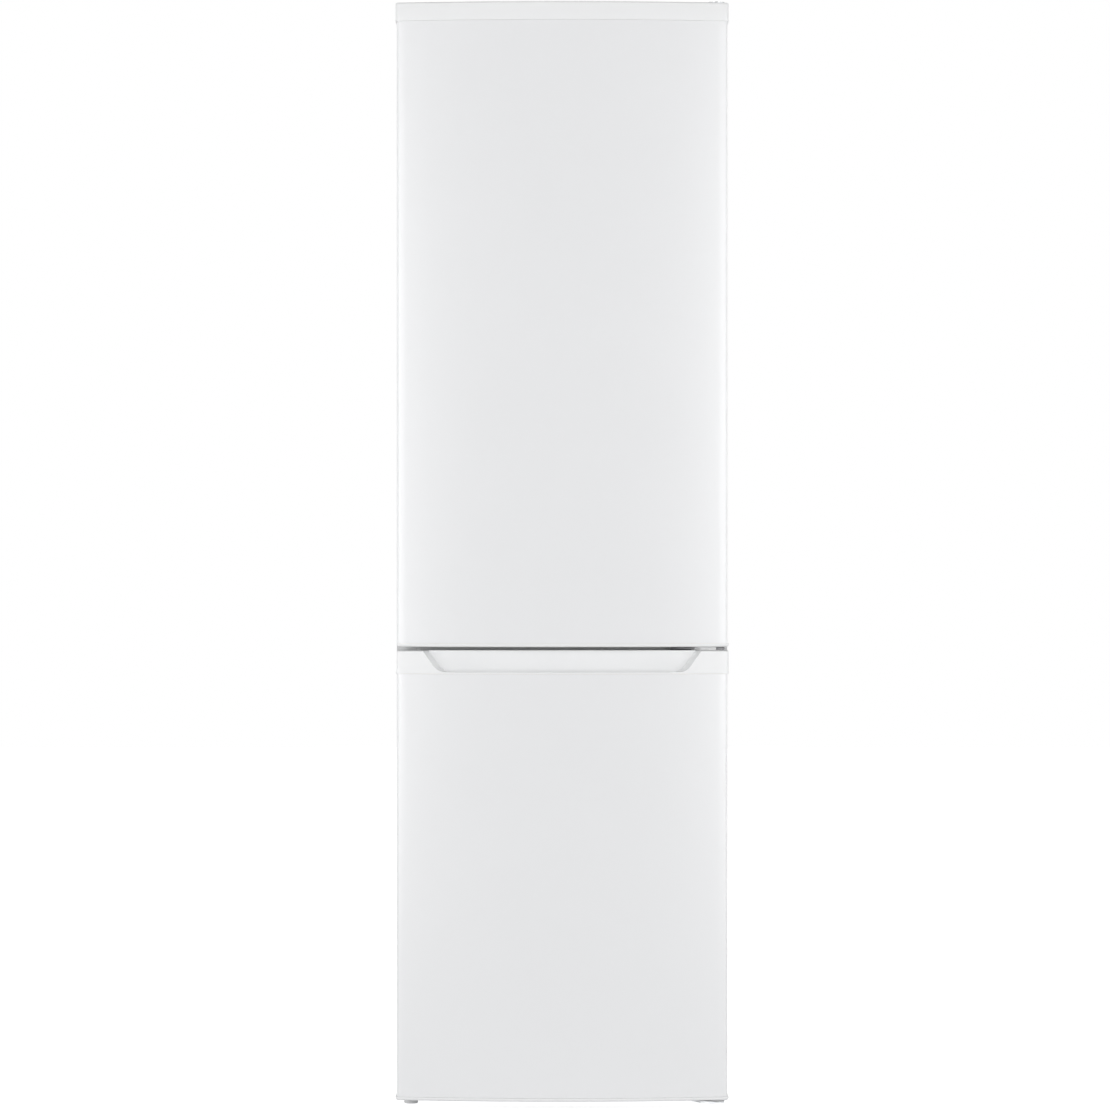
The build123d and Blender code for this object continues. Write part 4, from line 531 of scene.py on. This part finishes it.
# %% [markdown]
# ## Bent tubes
# The pipes and the condenser are tubes bent on a former: straight runs joined by true
# arcs. Curve objects with a bevel could draw them, but the arcs of a former are exact
# circles, which a rational curve through each corner gives in one array.

# %% Bent tubes
def bent_route(points, bend, steps):
    """Points of a route whose corners are circle arcs: (1-w)^2 A + 2w(1-w)k C + w^2 B
    over the sum of its weights, with k the sine of half the corner's angle."""
    points = np.array(points, float)
    corner = points[1:-1]
    come, go = unit(points[:-2] - corner), unit(points[2:] - corner)
    half_angle = np.arccos(np.clip(np.sum(come * go, axis=1), -1, 1)) / 2
    w = np.linspace(0, 1, steps + 1)[None, :, None]
    first, last = (1 - w) ** 2, w**2
    pull = 2 * w * (1 - w) * np.sin(half_angle)[:, None, None]
    arcs = (first * (corner + come * bend)[:, None] + pull * corner[:, None]
            + last * (corner + go * bend)[:, None]) / (first + pull + last)
    return np.concatenate([points[:1], arcs.reshape(-1, 3), points[-1:]])


def bent_tube(points, bend, radius, across, sides, steps=8):
    """Circles on a route: point(u, v) = route(u) + r (cos v * side(u) + sin v * up(u)).
    The side is square to the route and to a fixed direction that no run lies along."""
    route = bent_route(points, bend, steps)
    ahead = unit(np.gradient(route, axis=0))
    side = unit(np.cross(ahead, np.asarray(across, float)))
    up = np.cross(side, ahead)
    across_side, along_up = circle(radius, sides).T[:, None, :, None]
    return surface(route[:, None] + across_side * side[:, None] + along_up * up[:, None])


COIL_Y, COIL_LOW, COIL_HIGH, PITCH, COIL_HALF = 0.283, 0.335, 1.255, 0.092, 0.218
INLET_X, OUTLET_X, COIL_FOOT = 0.242, -0.150, 0.195
coil_route = [(INLET_X, COIL_Y, COIL_FOOT), (INLET_X, COIL_Y, COIL_HIGH)]
for step in range(10):
    turn_x = COIL_HALF if step % 2 else -COIL_HALF
    upper = COIL_HIGH - step * PITCH
    coil_route += [(turn_x, COIL_Y, upper), (turn_x, COIL_Y, upper - PITCH)]
coil_route += [(OUTLET_X, COIL_Y, COIL_LOW), (OUTLET_X, COIL_Y, COIL_FOOT)]
print("corners of the condenser", len(coil_route) - 2)

# %% [markdown]
# ## The condenser
# Behind the refrigerator one long tube runs to and fro between two rows of steel wires,
# which are spot-welded to it and spread its heat. The wires are six-sided, because there
# are a hundred of them and nobody sees more than their glint. The whole is dipped in
# black enamel, so one finish covers it.

# %% Condenser
WIRE_OFFSET, WIRE_RADIUS, WIRE_LOW, WIRE_HIGH = 0.0034, 0.0009, 0.319, 1.271
coil = bent_tube(coil_route, 0.038, 0.0025, (0, 1, 0), 12, 9)
wires = [surface([place(circle(WIRE_RADIUS, 6, x, y), level)
                  for level in (WIRE_LOW, WIRE_HIGH)])
         for y in (COIL_Y - WIRE_OFFSET, COIL_Y + WIRE_OFFSET)
         for x in np.linspace(-0.180, 0.180, 49)]
new_piece("wire_condenser", [coil, *wires], "condenser")

# %% [markdown]
# ## The compressor and what belongs to it
# The compressor's shell is two pressed cups welded along a seam. Both are ovals, so every
# ring of the shell is the same oval, scaled by a profile: full at the seam, drawn in
# under the belly and over the dome. It stands on four rubber mounts that are waisted so
# that they can flex.

# %% Compressor
CX, CY, HALF_LONG, HALF_WIDE, STUB_Z = 0.020, 0.169, 0.092, 0.068, 0.0852


def reach_at(x):
    """Depth of the oval's back at x: its middle plus the half width of an ellipse."""
    return CY + HALF_WIDE * np.sqrt(1 - (x / HALF_LONG) ** 2)


def oval_shell(profile):
    """Rings of an oval: point(u, v) = centre + scale(v) * oval(u), at height(v)."""
    oval = circle(1, 64) * (HALF_LONG, HALF_WIDE)
    return surface([place(oval * max(scale, 1e-6) + (CX, CY), level)
                    for scale, level in profile])


belly = [(0, 0.0294), (0.62, 0.0294), (0.82, 0.0312), (0.92, 0.0358), (0.975, 0.0440),
         (0.997, 0.0560), (1.0, 0.0660), (1.0, 0.1056), (0.992, 0.1070)]
seam = [(0.986, 0.1074), (0.976, 0.1082), (0.964, 0.1082), (0.958, 0.1090),
        (0.955, 0.112), (0.955, 0.130)]
dome = [(0.955 * np.cos(a) ** 0.62, 0.130 + 0.0370 * np.sin(a))
        for a in np.linspace(0, np.pi / 2, 11)[1:]]
foot_plate = profiled(rounded_box(0.190, 0.126, 0.012) + (CX, CY),
                      mm((0.5, 26.8), (0, 27.3), (0, 28.7), (0.5, 29.2)))
relay_box = profiled(rounded_box(0.062, 0.066, 0.006) + (CY, 0.0762),
                     mm((1.2, 112.3), (0, 113.3), (0, 118), (0.8, 118.4), (0.8, 138.4),
                        (3, 144), (6.2, 146.3)), "x")
new_piece("compressor_shell", [oval_shell(belly + seam + dome), foot_plate], "compressor")
new_piece("relay_box", [relay_box], "relay_cover")
stub_y = CY + 0.045, CY + 0.050
new_piece("compressor_stubs", [
    bent_tube([(CX + x, y, STUB_Z) for y in (*stub_y, reach_at(x) + 0.010)],
              0.001, 0.0040, (0, 0, 1), 16, 1) for x in (-0.060, -0.044, 0.052)],
    slot="copper")
mount = mm((0, 13.8), (9.8, 13.8), (11, 15), (11, 17.6), (9.4, 19.2), (9.4, 20.6),
           (11, 22.4), (11, 25.8), (10, 26.7), (5.5, 26.8), (5.5, 29.6), (7, 29.7),
           (7.5, 30.4), (7.2, 32.6), (5, 33.6), (0, 33.6))
new_piece("rubber_mounts", [turned(mount, CX + x, CY + y, count=28)
                            for x in (-0.084, 0.084) for y in (-0.052, 0.052)],
          "compressor_grommets")

# %% [markdown]
# ## Tray, drain, drier and pipes
# Melt water from the cooling plate runs down the drain tube into a tray on the warm
# compressor and dries up there. The drier is a copper can with spun ends. The pipes are
# thin copper, bent by hand round the machinery.

# %% Tray, drain and drier
low, high = level_range("evaporation_tray")
inside = mm((10, 2), (6.2, 2.6), (4.7, 5.5)) + (0, low)
rim = mm((2.4, -2), (2, -0.6), (1.2, 0), (0.3, -0.4), (0, -1.3), (0.4, -2.2)) + (0, high)
outside = mm((2.2, 4), (3.4, 1), (5.8, 0)) + (0, low)
new_piece("drip_tray", [profiled(rounded_box(0.195, 0.133, 0.014, 8) + (CX, CY),
                                 [*inside, *rim, *outside])], "evaporation_tray")
hose = sleeve(0.020, 0.115, 0.1795, 0.2248, 0.0070, 0.0055, 0.0004, 28)
new_piece("drain_hose", [hose], "drain_tube")
DRIER_X, DRIER_Y = OUTLET_X, 0.222
can = mm((0, 47.8), (4, 47.8), (4, 56), (5.2, 57.5), (8, 59.5), (9, 62.5), (9, 78),
         (8.7, 78.6), (9, 79.2), (9, 125), (8, 128), (5.2, 130), (4, 131.6), (4, 139.8),
         (0, 139.8))
new_piece("drier_can", [turned(can, DRIER_X, DRIER_Y)], "filter_drier")

# %% Pipes and cord gland
PIPE_Y, STUB_END, COIL_END, CAPILLARY_Z = 0.256, 0.0072, 0.1948, 0.0298
SQUARE_TO = (0.37, 0.61, 0.70)
discharge = [(0.072, reach_at(0.052) + STUB_END, STUB_Z), (0.072, PIPE_Y, STUB_Z),
             (INLET_X, PIPE_Y, STUB_Z), (INLET_X, COIL_Y, STUB_Z + 0.050),
             (INLET_X, COIL_Y, COIL_END)]
liquid = [(OUTLET_X, COIL_Y, COIL_END), (OUTLET_X, COIL_Y, 0.1778),
          (DRIER_X, DRIER_Y, 0.1598), (DRIER_X, DRIER_Y, 0.1385)]
suction = [(-0.024, reach_at(-0.044) + STUB_END, STUB_Z), (-0.024, PIPE_Y, STUB_Z),
           (-0.090, PIPE_Y, STUB_Z), (-0.090, PIPE_Y, 0.2248)]
capillary = [(DRIER_X, DRIER_Y, 0.0490), (DRIER_X, DRIER_Y, CAPILLARY_Z),
             (-0.184, DRIER_Y, CAPILLARY_Z), (-0.184, 0.0704, CAPILLARY_Z)]
pipes = ((discharge, 0.0025, 12), (liquid, 0.0025, 12), (suction, 0.0032, 12),
         (capillary, 0.0016, 8))
new_piece("copper_pipes", [bent_tube(route, 0.009, radius, SQUARE_TO, sides)
                           for route, radius, sides in pipes], "refrigerant_pipes")
GLAND_X, GLAND_Y, GLAND_Z = 0.222, 0.0702, 0.0738
flange = profiled(rounded_box(0.024, 0.018, 0.004) + (GLAND_X, GLAND_Z),
                  mm((0, 0), (0, 2.4), (0.6, 3)) + (0, GLAND_Y), "y")
collar = turned(mm((6, 2.8), (6.5, 3.4), (6.5, 15.8), (5.8, 17), (4, 17), (3.6, 16.4),
                   (3.6, 4), (0, 4)) + (0, GLAND_Y), GLAND_X, GLAND_Z, "y")
new_piece("cord_inlet", [flange, collar], "cord_gland")

# %% [markdown]
# ## The two formed liners
# Each compartment is lined with one plastic sheet drawn by vacuum into a mould. The sheet
# bends over at the mouth, runs to the back and closes in large soft corners, because hot
# sheet can't fill a sharp one. A box with a solidify modifier would be quicker, but
# rings walked from the outside over the mouth to the inside give the true wall, the
# rounded mouth and the step of the freezer's floor in one closed surface.

# %% Walk of a liner
FACE, LINER, MOUTH_RADIUS = -0.218, 0.0015, 0.002


def upright_ring(half, low, high, radius, y):
    """A rounded rectangle standing at depth y: point = (x, y, z), z from low to high."""
    flat = rounded_box(2 * half, high - low, radius) + (0, (low + high) / 2)
    return place(flat, y, "y")


def shell(walk, closed_ends=True):
    """A surface through rings of (half width, low, high, corner radius, depth)."""
    return surface([upright_ring(*ring) for ring in walk], closed_ends)


def depth_runs(half, low, high, back, corner, step, grow):
    """Rings from the mouth to the back, each grown by a margin: the floor level follows
    the depth over a soft step, then all walls turn into the back round a corner."""
    runs, floor_level = [], low
    if step:
        step_y, floor_level = step
        runs = [(step_y - drop, low + inset) for inset, drop in quarter(0.009)]
        runs += [(step_y + 0.0014 + inset, floor_level - drop)
                 for inset, drop in quarter(0.006)]
    rings = [(half + grow, z - grow, high + grow, corner + grow, y + grow)
             for y, z in runs]
    for inset, drop in quarter(corner):
        more = grow - inset
        rings.append((half + more, floor_level - more, high + more,
                      max(corner + more, 0.002), back + grow - drop))
    return rings


def liner_walk(half, low, high, back, corner, step=None):
    """Outer skin from the back to the flange, round the mouth, then the inside to the
    back. A step is the depth and the level at which a higher floor begins."""
    sizes = half, low, high, back, corner, step
    outside = [(half + LINER, low - LINER, high + LINER, corner + LINER, FACE + LINER)]
    outside += depth_runs(*sizes, LINER)
    flange = [(0.2378 - edge, low - 0.010 + edge, high + 0.010 - edge, 0.004,
               FACE + depth) for edge, depth in mm((0, 1.5), (0, 0.4), (0.4, 0))]
    mouth = [(half + drop, low - drop, high + drop, corner + drop, FACE + inset)
             for inset, drop in quarter(MOUTH_RADIUS)]
    return outside[::-1] + flange + mouth + depth_runs(*sizes, 0.0)


# %% Liners with their ribs
def bar_pair(near, far, depths, levels, edge):
    """A bar with rounded edges on both sides of the middle, its x from near to far and
    its depths and levels given as (low, high) pairs."""
    flat = rounded_box(far - near, levels[1] - levels[0], edge, 3)
    profile = round_over(edge * 0.8, *depths, 3)
    return [profiled(flat + (side * (near + far) / 2, sum(levels) / 2), profile, "y")
            for side in (-1, 1)]


def rib_pair(inner, front, back, level):
    """Two ribs on the side walls whose tops lie at a level."""
    return bar_pair(inner - 0.010, inner + 0.0004, (front, back),
                    (level - 0.009, level), 0.0016)


def gutter():
    """A lipped channel on the back wall: its section (y, z) rides on a shallow V in x."""
    section = mm((218.4, 0), (212.2, 0), (211.2, 1), (211, 7), (211.3, 8), (212.4, 8),
                 (213, 2.8), (216.8, 2.4), (218.4, 6))
    across = np.array([-0.2282, -0.12, -0.012, -0.005, 0, 0.005, 0.012, 0.12, 0.2282])
    rise = 1.014 + 0.026 * np.sqrt(across**2 + 0.006**2) / 0.228 - 0.0007
    return surface([place(section + (0, z), x, "x") for x, z in zip(across, rise)])


FRIDGE_HALF, FREEZER_HALF, SHELF_LEVELS = 0.228, 0.210, (1.166, 1.358, 1.550)
ribs = [rib for level in (0.974, *SHELF_LEVELS)
        for rib in rib_pair(FRIDGE_HALF, -0.074, 0.192, level)]
fridge_walk = liner_walk(FRIDGE_HALF, 0.788, 1.742, 0.218, 0.014)
new_piece("fridge_lining", [shell(fridge_walk), gutter(), *ribs], "fridge_liner")
freezer_walk = liner_walk(FREEZER_HALF, 0.080, 0.712, 0.208, 0.010, (0.025, 0.270))
new_piece("freezer_lining", [
    shell(freezer_walk), *rib_pair(FREEZER_HALF, -0.156, 0.016, 0.2702),
    *rib_pair(FREEZER_HALF, -0.156, 0.194, 0.4911)], "freezer_liner")

# %% [markdown]
# ## The backs of the doors
# The inside of each door is drawn from sheet as well. The upper one has a raised ring
# that holds the bins, the lower one a raised field that fills the mouth of the freezer.
# Both walls lean three to six degrees, so the sheet comes off its mould.

# %% Door linings
WALL, SKIN, DOOR_BACK, FIELD_CORNER, PAN_CORNER = 0.0012, -0.2312, -0.230, 0.020, 0.024
BIN_LEVELS, LUG_SPAN = (0.8455, 1.1728, 1.4678), (-0.220, -0.190)


def inset_rings(half, low, high, radius, steps):
    """Rings drawn in by an inset from one upright rectangle, at the depths given."""
    return [(half - inset, low + inset, high - inset, max(radius - inset, 0.003), y)
            for inset, y in steps]


def door_lining(low, high, field, crest_y, draft, pan=None):
    """The far side first, then over the sheet's edge to the near side: ring and pan, or
    a raised field. A wall has a soft foot, leans by its draft and ends in a soft brow."""
    lean = np.tan(np.radians(draft)) * (crest_y - DOOR_BACK)
    climb = [(-drop, DOOR_BACK + inset) for inset, drop in quarter(0.003)]
    climb += [(lean + inset, crest_y - drop) for inset, drop in quarter(0.005)]
    near = inset_rings(*field, FIELD_CORNER, climb)
    under = [(inset + WALL, y - WALL) for inset, y in climb[6:]]
    far = inset_rings(*field, FIELD_CORNER, [(WALL, SKIN)] + under)
    if pan:
        *pan_field, pan_y = pan
        sink = [(-drop, crest_y - inset) for inset, drop in quarter(0.004)]
        sink += [(inset, pan_y + drop) for inset, drop in quarter(0.003)]
        near += inset_rings(*pan_field, PAN_CORNER, sink)
        far += inset_rings(*pan_field, PAN_CORNER,
                           [(inset - WALL, y - WALL) for inset, y in sink])
    edge = [(0.266, low + 0.004, high - 0.004, 0.005, y) for y in (SKIN, DOOR_BACK)]
    return shell(far[::-1] + edge + near)


lugs = [lug for floor_z in BIN_LEVELS for lug in bar_pair(
    0.1812, 0.1866, LUG_SPAN, (floor_z + 0.0358, floor_z + 0.0458), 0.0014)]
upper_back = door_lining(0.7515, 1.795, (0.212, 0.804, 1.726), -0.185, 3,
                         (0.186, 0.830, 1.700, -0.222))
new_piece("fridge_door_lining", [upper_back, *lugs], "fridge_door_liner")
lower_back = door_lining(0.017, 0.7455, (0.192, 0.098, 0.694), -0.200, 6)
new_piece("freezer_door_lining", [lower_back], "freezer_door_liner")

# %% [markdown]
# ## Bins, glass and rails
# A door bin is a clear tub with a leaning front, thin walls and a bead round its rim that
# keeps it from bending under bottles. It hangs by two side rims on lugs of the lining.
# The glass shelves have ground edges, held by a moulded rail in front and behind.

# %% Bins
def tub(half, near, far_low, far_high, floor_z, height, wall):
    """Rings up the outside, over the bead and down the inside; the far wall leans out
    with the level, the corners keep their radius less the inset."""
    top = floor_z + height
    steps = [(drop, floor_z + inset) for inset, drop in quarter(0.006, 4)]
    steps += [(0, top - 0.0052), (-0.0009, top - 0.0042), (-0.0009, top - 0.0008),
              (-0.0003, top), (wall - 0.0003, top), (wall, top - 0.0005),
              (wall, top - 0.0060)]
    steps += [(wall + inset, floor_z + wall + drop) for inset, drop in quarter(0.005, 4)]
    rings = []
    for inset, level in steps:
        far = far_low + (far_high - far_low) * (level - floor_z) / height - inset
        close = near + inset
        flat = rounded_box(2 * (half - inset), far - close, max(0.010 - inset, 0.002))
        rings.append(place(flat + (0, (far + close) / 2), level))
    return surface(rings)


bins = (("bottle_tub", "bottle_bin", 0.112),
        ("middle_door_tub", "middle_door_bin", 0.084),
        ("upper_door_tub", "upper_door_bin", 0.078))
for (name, node_name, height), floor_z in zip(bins, BIN_LEVELS):
    box = tub(0.1808, -0.2195, -0.132, -0.121, floor_z, height, 0.0022)
    rims = bar_pair(0.1799, 0.1855, LUG_SPAN, (floor_z + 0.0460, floor_z + 0.0482),
                    0.0008)
    new_piece(name, [box, *rims], node_name)

# %% Glass and its rails
GLASS = 0.004
pane = rounded_box(0.452, 0.300, 0.004) + (0, 0.054)
new_piece("shelf_plates", [profiled(pane, round_over(0.0012, level, level + GLASS))
                           for level in SHELF_LEVELS], "glass_shelves")


def rail(level, tall, behind=False):
    """Section of a rail round the edge of the glass: a half ellipse for its nose, two
    lips and a groove; then carried from end to end of the shelf."""
    middle, lift = level + GLASS / 2, tall / 2
    a = np.linspace(-np.pi / 2, np.pi / 2, 13)
    nose = np.stack([-0.097 - 0.005 * np.cos(a), middle + lift * np.sin(a)], 1)
    rest = np.array([(-0.0878, middle + lift), (-0.087, middle + lift - 0.0008),
                     (-0.087, level + 0.0042), (-0.0961, level + 0.0042),
                     (-0.0961, level - 0.0002), (-0.087, level - 0.0002),
                     (-0.087, middle - lift + 0.0008), (-0.0878, middle - lift)])
    section = np.concatenate([nose, rest])
    section = section * (-1, 1) + (0.108, 0) if behind else section[::-1]
    return profiled(section, mm((0.3, -223), (0, -222.7), (0, 222.7), (0.3, 223)), "x")


rails = [rail(level, 0.013) for level in SHELF_LEVELS]
rails += [rail(level, 0.009, behind=True) for level in SHELF_LEVELS]
new_piece("shelf_rails", rails, "shelf_trims")

# %% [markdown]
# ## Door seals
# A seal is one drawn rubber profile: a foot that snaps into the door, a soft bellows, and
# a pocket that holds the magnet strip. Its four lengths are welded at the corners. The
# bellows is why the profile is narrow, wide, narrow and wide again.

# %% Seals
def seal(middle_z, rise):
    """The profile (offset from the middle line, depth), carried round the door."""
    one_side = mm((8, 0), (8, 1.7), (7.3, 2.4), (4.4, 2.8), (3.6, 3.3), (4.2, 3.9),
                  (5.7, 4.5), (6, 5.2), (5.7, 5.9), (4.2, 6.4), (3.6, 7), (4.4, 7.6),
                  (6, 7.8), (6.5, 8.4), (6.5, 11.1), (5.9, 11.7))
    section = np.concatenate([one_side, one_side[::-1] * (-1, 1), one_side[:1]])
    walk = [(0.248 + offset, middle_z - rise - offset, middle_z + rise + offset,
             0.010 + offset, DOOR_BACK + depth) for offset, depth in section]
    return shell(walk, closed_ends=False)


new_piece("upper_seal", [seal(1.26825, 0.49875)], "fridge_door_gasket")
new_piece("lower_seal", [seal(0.38125, 0.34625)], "freezer_door_gasket")

# %% [markdown]
# ## Knob, cover and bushes
# The thermostat's knob has flutes for the finger tips and a ridge across its face that
# shows where it points. The cabinet's top is a shallow moulded tray turned upside down.
# Each hinge pin turns in a flanged nylon bush.

# %% Knob
KNOB_Y, KNOB_Z, FLUTES = -0.114, 1.648, 18


def fluted(radius, depth):
    """A circle whose radius dips by depth times the square of a raised cosine."""
    raised = 0.5 + 0.5 * np.cos(np.arange(8 * FLUTES) * np.pi / 4)
    return circle(radius - depth * raised**2, 8 * FLUTES, KNOB_Y, KNOB_Z)


knob_steps = mm((16.6, 0, 193.7), (16.9, 0.1, 193.4), (16.8, 0.8, 192.5),
                (16.6, 0.9, 189), (16.4, 0.8, 188.2), (15.8, 0.3, 187.7), (15, 0, 187.5))
knob_disc = surface([place(fluted(radius, depth), x, "x")
                     for radius, depth, x in knob_steps])
ridge = profiled(rounded_box(0.0068, 0.0322, 0.0033) + (KNOB_Y, KNOB_Z),
                 mm((0, 188), (0.1, 180.6), (0.4, 179.4), (1, 178.9), (1.8, 178.7)), "x")
stem = turned(mm((0, 193), (3, 193), (3, 205.3), (2.6, 205.7), (0, 205.7)),
              KNOB_Y, KNOB_Z, "x", 24)
new_piece("cold_knob", [knob_disc, ridge, stem], "thermostat_knob")

# %% Cabinet top and bushes
rim = [(inset, 1.790 - drop) for inset, drop in quarter(0.003)]
wall = mm((3, 1787.5), (2.5, 1787), (2.5, 1776.5), (2.2, 1776.2), (0.3, 1776.2),
          (0, 1776.5))
top_plan = rounded_box(0.540, 0.486, 0.004) + (0, 0.025)
new_piece("cabinet_top", [profiled(top_plan, [*wall, *rim])], "top_cover")


def flanged_bush(face, mouth, end):
    """Wall section of a bush: its flange from face to mouth, its barrel on to the end."""
    way = np.sign(end - face)
    bore, barrel, flange = 0.00405, 0.0070, 0.0100
    section = [(bore, face + way * 0.0003), (bore + 0.0003, face),
               (flange - 0.0002, face), (flange, face + way * 0.0002),
               (flange, mouth), (barrel, mouth),
               (barrel, end - way * 0.0005), (barrel - 0.0005, end), (bore + 0.0003, end),
               (bore, end - way * 0.0003), (bore, face + way * 0.0003)]
    return turned(section, HINGE_X, HINGE_Y, count=40, closed_ends=False)


new_piece("upper_door_bushes", [flanged_bush(0.7503, 0.7515, 0.7675),
                                flanged_bush(1.7960, 1.7950, 1.7790)],
          "fridge_door_bushings")
new_piece("lower_door_bushes", [flanged_bush(0.0133, 0.0170, 0.0330),
                                flanged_bush(0.7467, 0.7455, 0.7295)],
          "freezer_door_bushings")

# %% [markdown]
# ## Pressed, folded and moulded pieces
# Plates, brackets, covers and drawers already have their true shape in the frame, but a
# computer's edge is perfectly sharp and catches no light. A press leaves a small round on
# every edge, and a mould a larger one. Each such piece is copied from the frame, its
# loose triangles are merged into whole faces, and a bevel rounds its edges.

# %% Eased copies of frame pieces
# The middle hinge plate and the hinge bolts take the dark finish in place of their
# plating. On the plate it is partly dark metal and partly painted shade of the gap
# between the doors. On the bolts it is painted shade.
MOST_SIDES, DARK_AND_SHADED_PIECES = 8, ("middle_hinge_plate", "hinge_bolts")


def whole_faces(source, name):
    """A mesh with its points merged and its flat triangles made one face each. A large
    face with a hole in it is cut into triangles again, since a bevel would close it."""
    grid = bmesh.new()
    grid.from_mesh(source)
    bmesh.ops.remove_doubles(grid, verts=grid.verts, dist=1e-6)
    bmesh.ops.dissolve_limit(grid, angle_limit=np.radians(0.6), verts=grid.verts,
                             edges=grid.edges)
    many_sided = [face for face in grid.faces if len(face.verts) > MOST_SIDES]
    bmesh.ops.triangulate(grid, faces=many_sided)
    mesh = bpy.data.meshes.new(name)
    grid.to_mesh(mesh)
    grid.free()
    return mesh


for node_name, name, width in (
        ("left_side_panel", "left_side_sheet", 0.35),
        ("right_side_panel", "right_side_sheet", 0.35),
        ("rear_panel", "rear_sheet", 0.3),
        ("top_crossmember", "top_rail", 0.35),
        ("centre_crossmember", "centre_rail", 0.35),
        ("bottom_crossmember", "bottom_rail", 0.35),
        ("base_plate", "base_tray", 0.3),
        ("top_hinge_bracket", "top_hinge_plate", 0.6),
        ("lower_hinge_bracket", "low_hinge_plate", 0.6),
        ("top_hinge_cover", "top_hinge_hood", 1.2),
        ("middle_hinge_cover", "middle_hinge_sleeve", 0.35),
        ("condenser_clips", "condenser_holders", 0.8),
        ("crisper_cover", "crisper_lid", 0.8),
        ("freezer_shelves", "freezer_decks", 0.8),
        ("roller_axles", "wheel_pins", 0.3),
        ("lamp_housing", "lamp_box", 1.2),
        ("lamp_lens", "lamp_window", 1.0),
        ("crisper_drawer", "crisper_tub", 0.7),
        ("top_freezer_drawer", "top_freezer_tub", 0.7),
        ("middle_freezer_drawer", "middle_freezer_tub", 0.7),
        ("bottom_freezer_drawer", "bottom_freezer_tub", 0.7),
        ("middle_hinge_bracket", "middle_hinge_plate", 0.6),
        ("hinge_screws", "hinge_bolts", 0.25)):
    # Painted shade: the hinge plate and bolts are darkened to stand for the shade where
    # they sit.
    look = finishes["dark_plate_and_painted_shade"] if name in DARK_AND_SHADED_PIECES else None
    mesh = whole_faces(nodes[node_name].data, name)
    ease(show(name, mesh, node_name, look=look), width)

# %% [markdown]
# ## Floor, sky and lamps
# The photograph is a catalogue picture: a white ground, no floor line, and light from
# both sides that leaves the middle of the bowed doors a shade darker than their edges.
# Two tall soft panels stand left and right of the camera. Two weaker ones stand almost
# in line with the doors: their light only grazes the front, so it lifts the turned-away
# edges and hardly reaches the crown. The sky fills the rest.
# The floor is pale and glows a little for the camera, so it stays white around the
# object and still keeps the shadow under it.

# %% Floor and sky
FLOOR_REACH, FLOOR_GREY, FLOOR_GLOW, SKY_STRENGTH = 12, 0.80, 0.80, 0.33
WHITE = (1, 1, 1, 1)


def seen_ray(tree):
    """1 for a ray that sees the background: from the camera, a gloss or clear plastic."""
    path = add_node(tree, "LightPath", {})
    seen = path["Is Camera Ray"]
    for ray in ("Is Glossy Ray", "Is Transmission Ray"):
        seen = add_node(tree, "Math", {0: seen, 1: path[ray]}, operation="MAXIMUM")[0]
    return seen


corners = np.array([(-1, -1, 0), (1, -1, 0), (1, 1, 0), (-1, 1, 0)]) * FLOOR_REACH
floor_mesh = bpy.data.meshes.new("floor")
floor_mesh.from_pydata(corners.tolist(), [], [(0, 1, 2, 3)])
floor_finish = bpy.data.materials.new("floor")
floor_finish.use_nodes = True
tree = floor_finish.node_tree
glow = add_node(tree, "Math", {0: seen_ray(tree), 1: FLOOR_GLOW}, operation="MULTIPLY")[0]
set_inputs(tree, tree.nodes["Principled BSDF"], {
    "Base Color": (*[FLOOR_GREY] * 3, 1), "Roughness": 1.0, "Specular IOR Level": 0.0,
    "Emission Color": WHITE, "Emission Strength": glow})
floor_mesh.materials.append(floor_finish)
floor = bpy.data.objects.new("floor", floor_mesh)
bpy.context.collection.objects.link(floor)

world = bpy.data.worlds.new("studio")
bpy.context.scene.world = world
world.use_nodes = True
sky = world.node_tree
ground = sky.nodes["Background"]
set_inputs(sky, ground, {"Color": WHITE, "Strength": SKY_STRENGTH})
white = add_node(sky, "Background", {"Color": WHITE, "Strength": 1.0})[0]
backdrop = {"Fac": seen_ray(sky), 1: ground.outputs[0], 2: white}
set_inputs(sky, sky.nodes["World Output"],
           {"Surface": add_node(sky, "MixShader", backdrop)[0]})
print("floor", floor.name, "and sky", SKY_STRENGTH)

# %% Soft panels
PANEL_DISTANCE, PANEL_SIDE, PANEL_LEVEL = 6.0, 3.0, 1.0
for side, hand in ((-1, "left"), (1, "right")):
    for place_name, azimuth, watts in (("front", 36, 134), ("side", 82, 80)):
        lamp = bpy.data.lights.new(f"{hand}_{place_name}_panel", "AREA")
        lamp.shape = "RECTANGLE"
        lamp.size = lamp.size_y = PANEL_SIDE
        lamp.energy = watts
        holder = bpy.data.objects.new(lamp.name, lamp)
        angle = side * np.radians(azimuth)
        holder.location = (PANEL_DISTANCE * np.sin(angle),
                           -PANEL_DISTANCE * np.cos(angle), PANEL_LEVEL)
        holder.rotation_euler = (np.radians(90), 0, angle)
        bpy.context.collection.objects.link(holder)
print("panels placed")

# %% Finish
bpy.context.scene.view_settings.view_transform = "Standard"
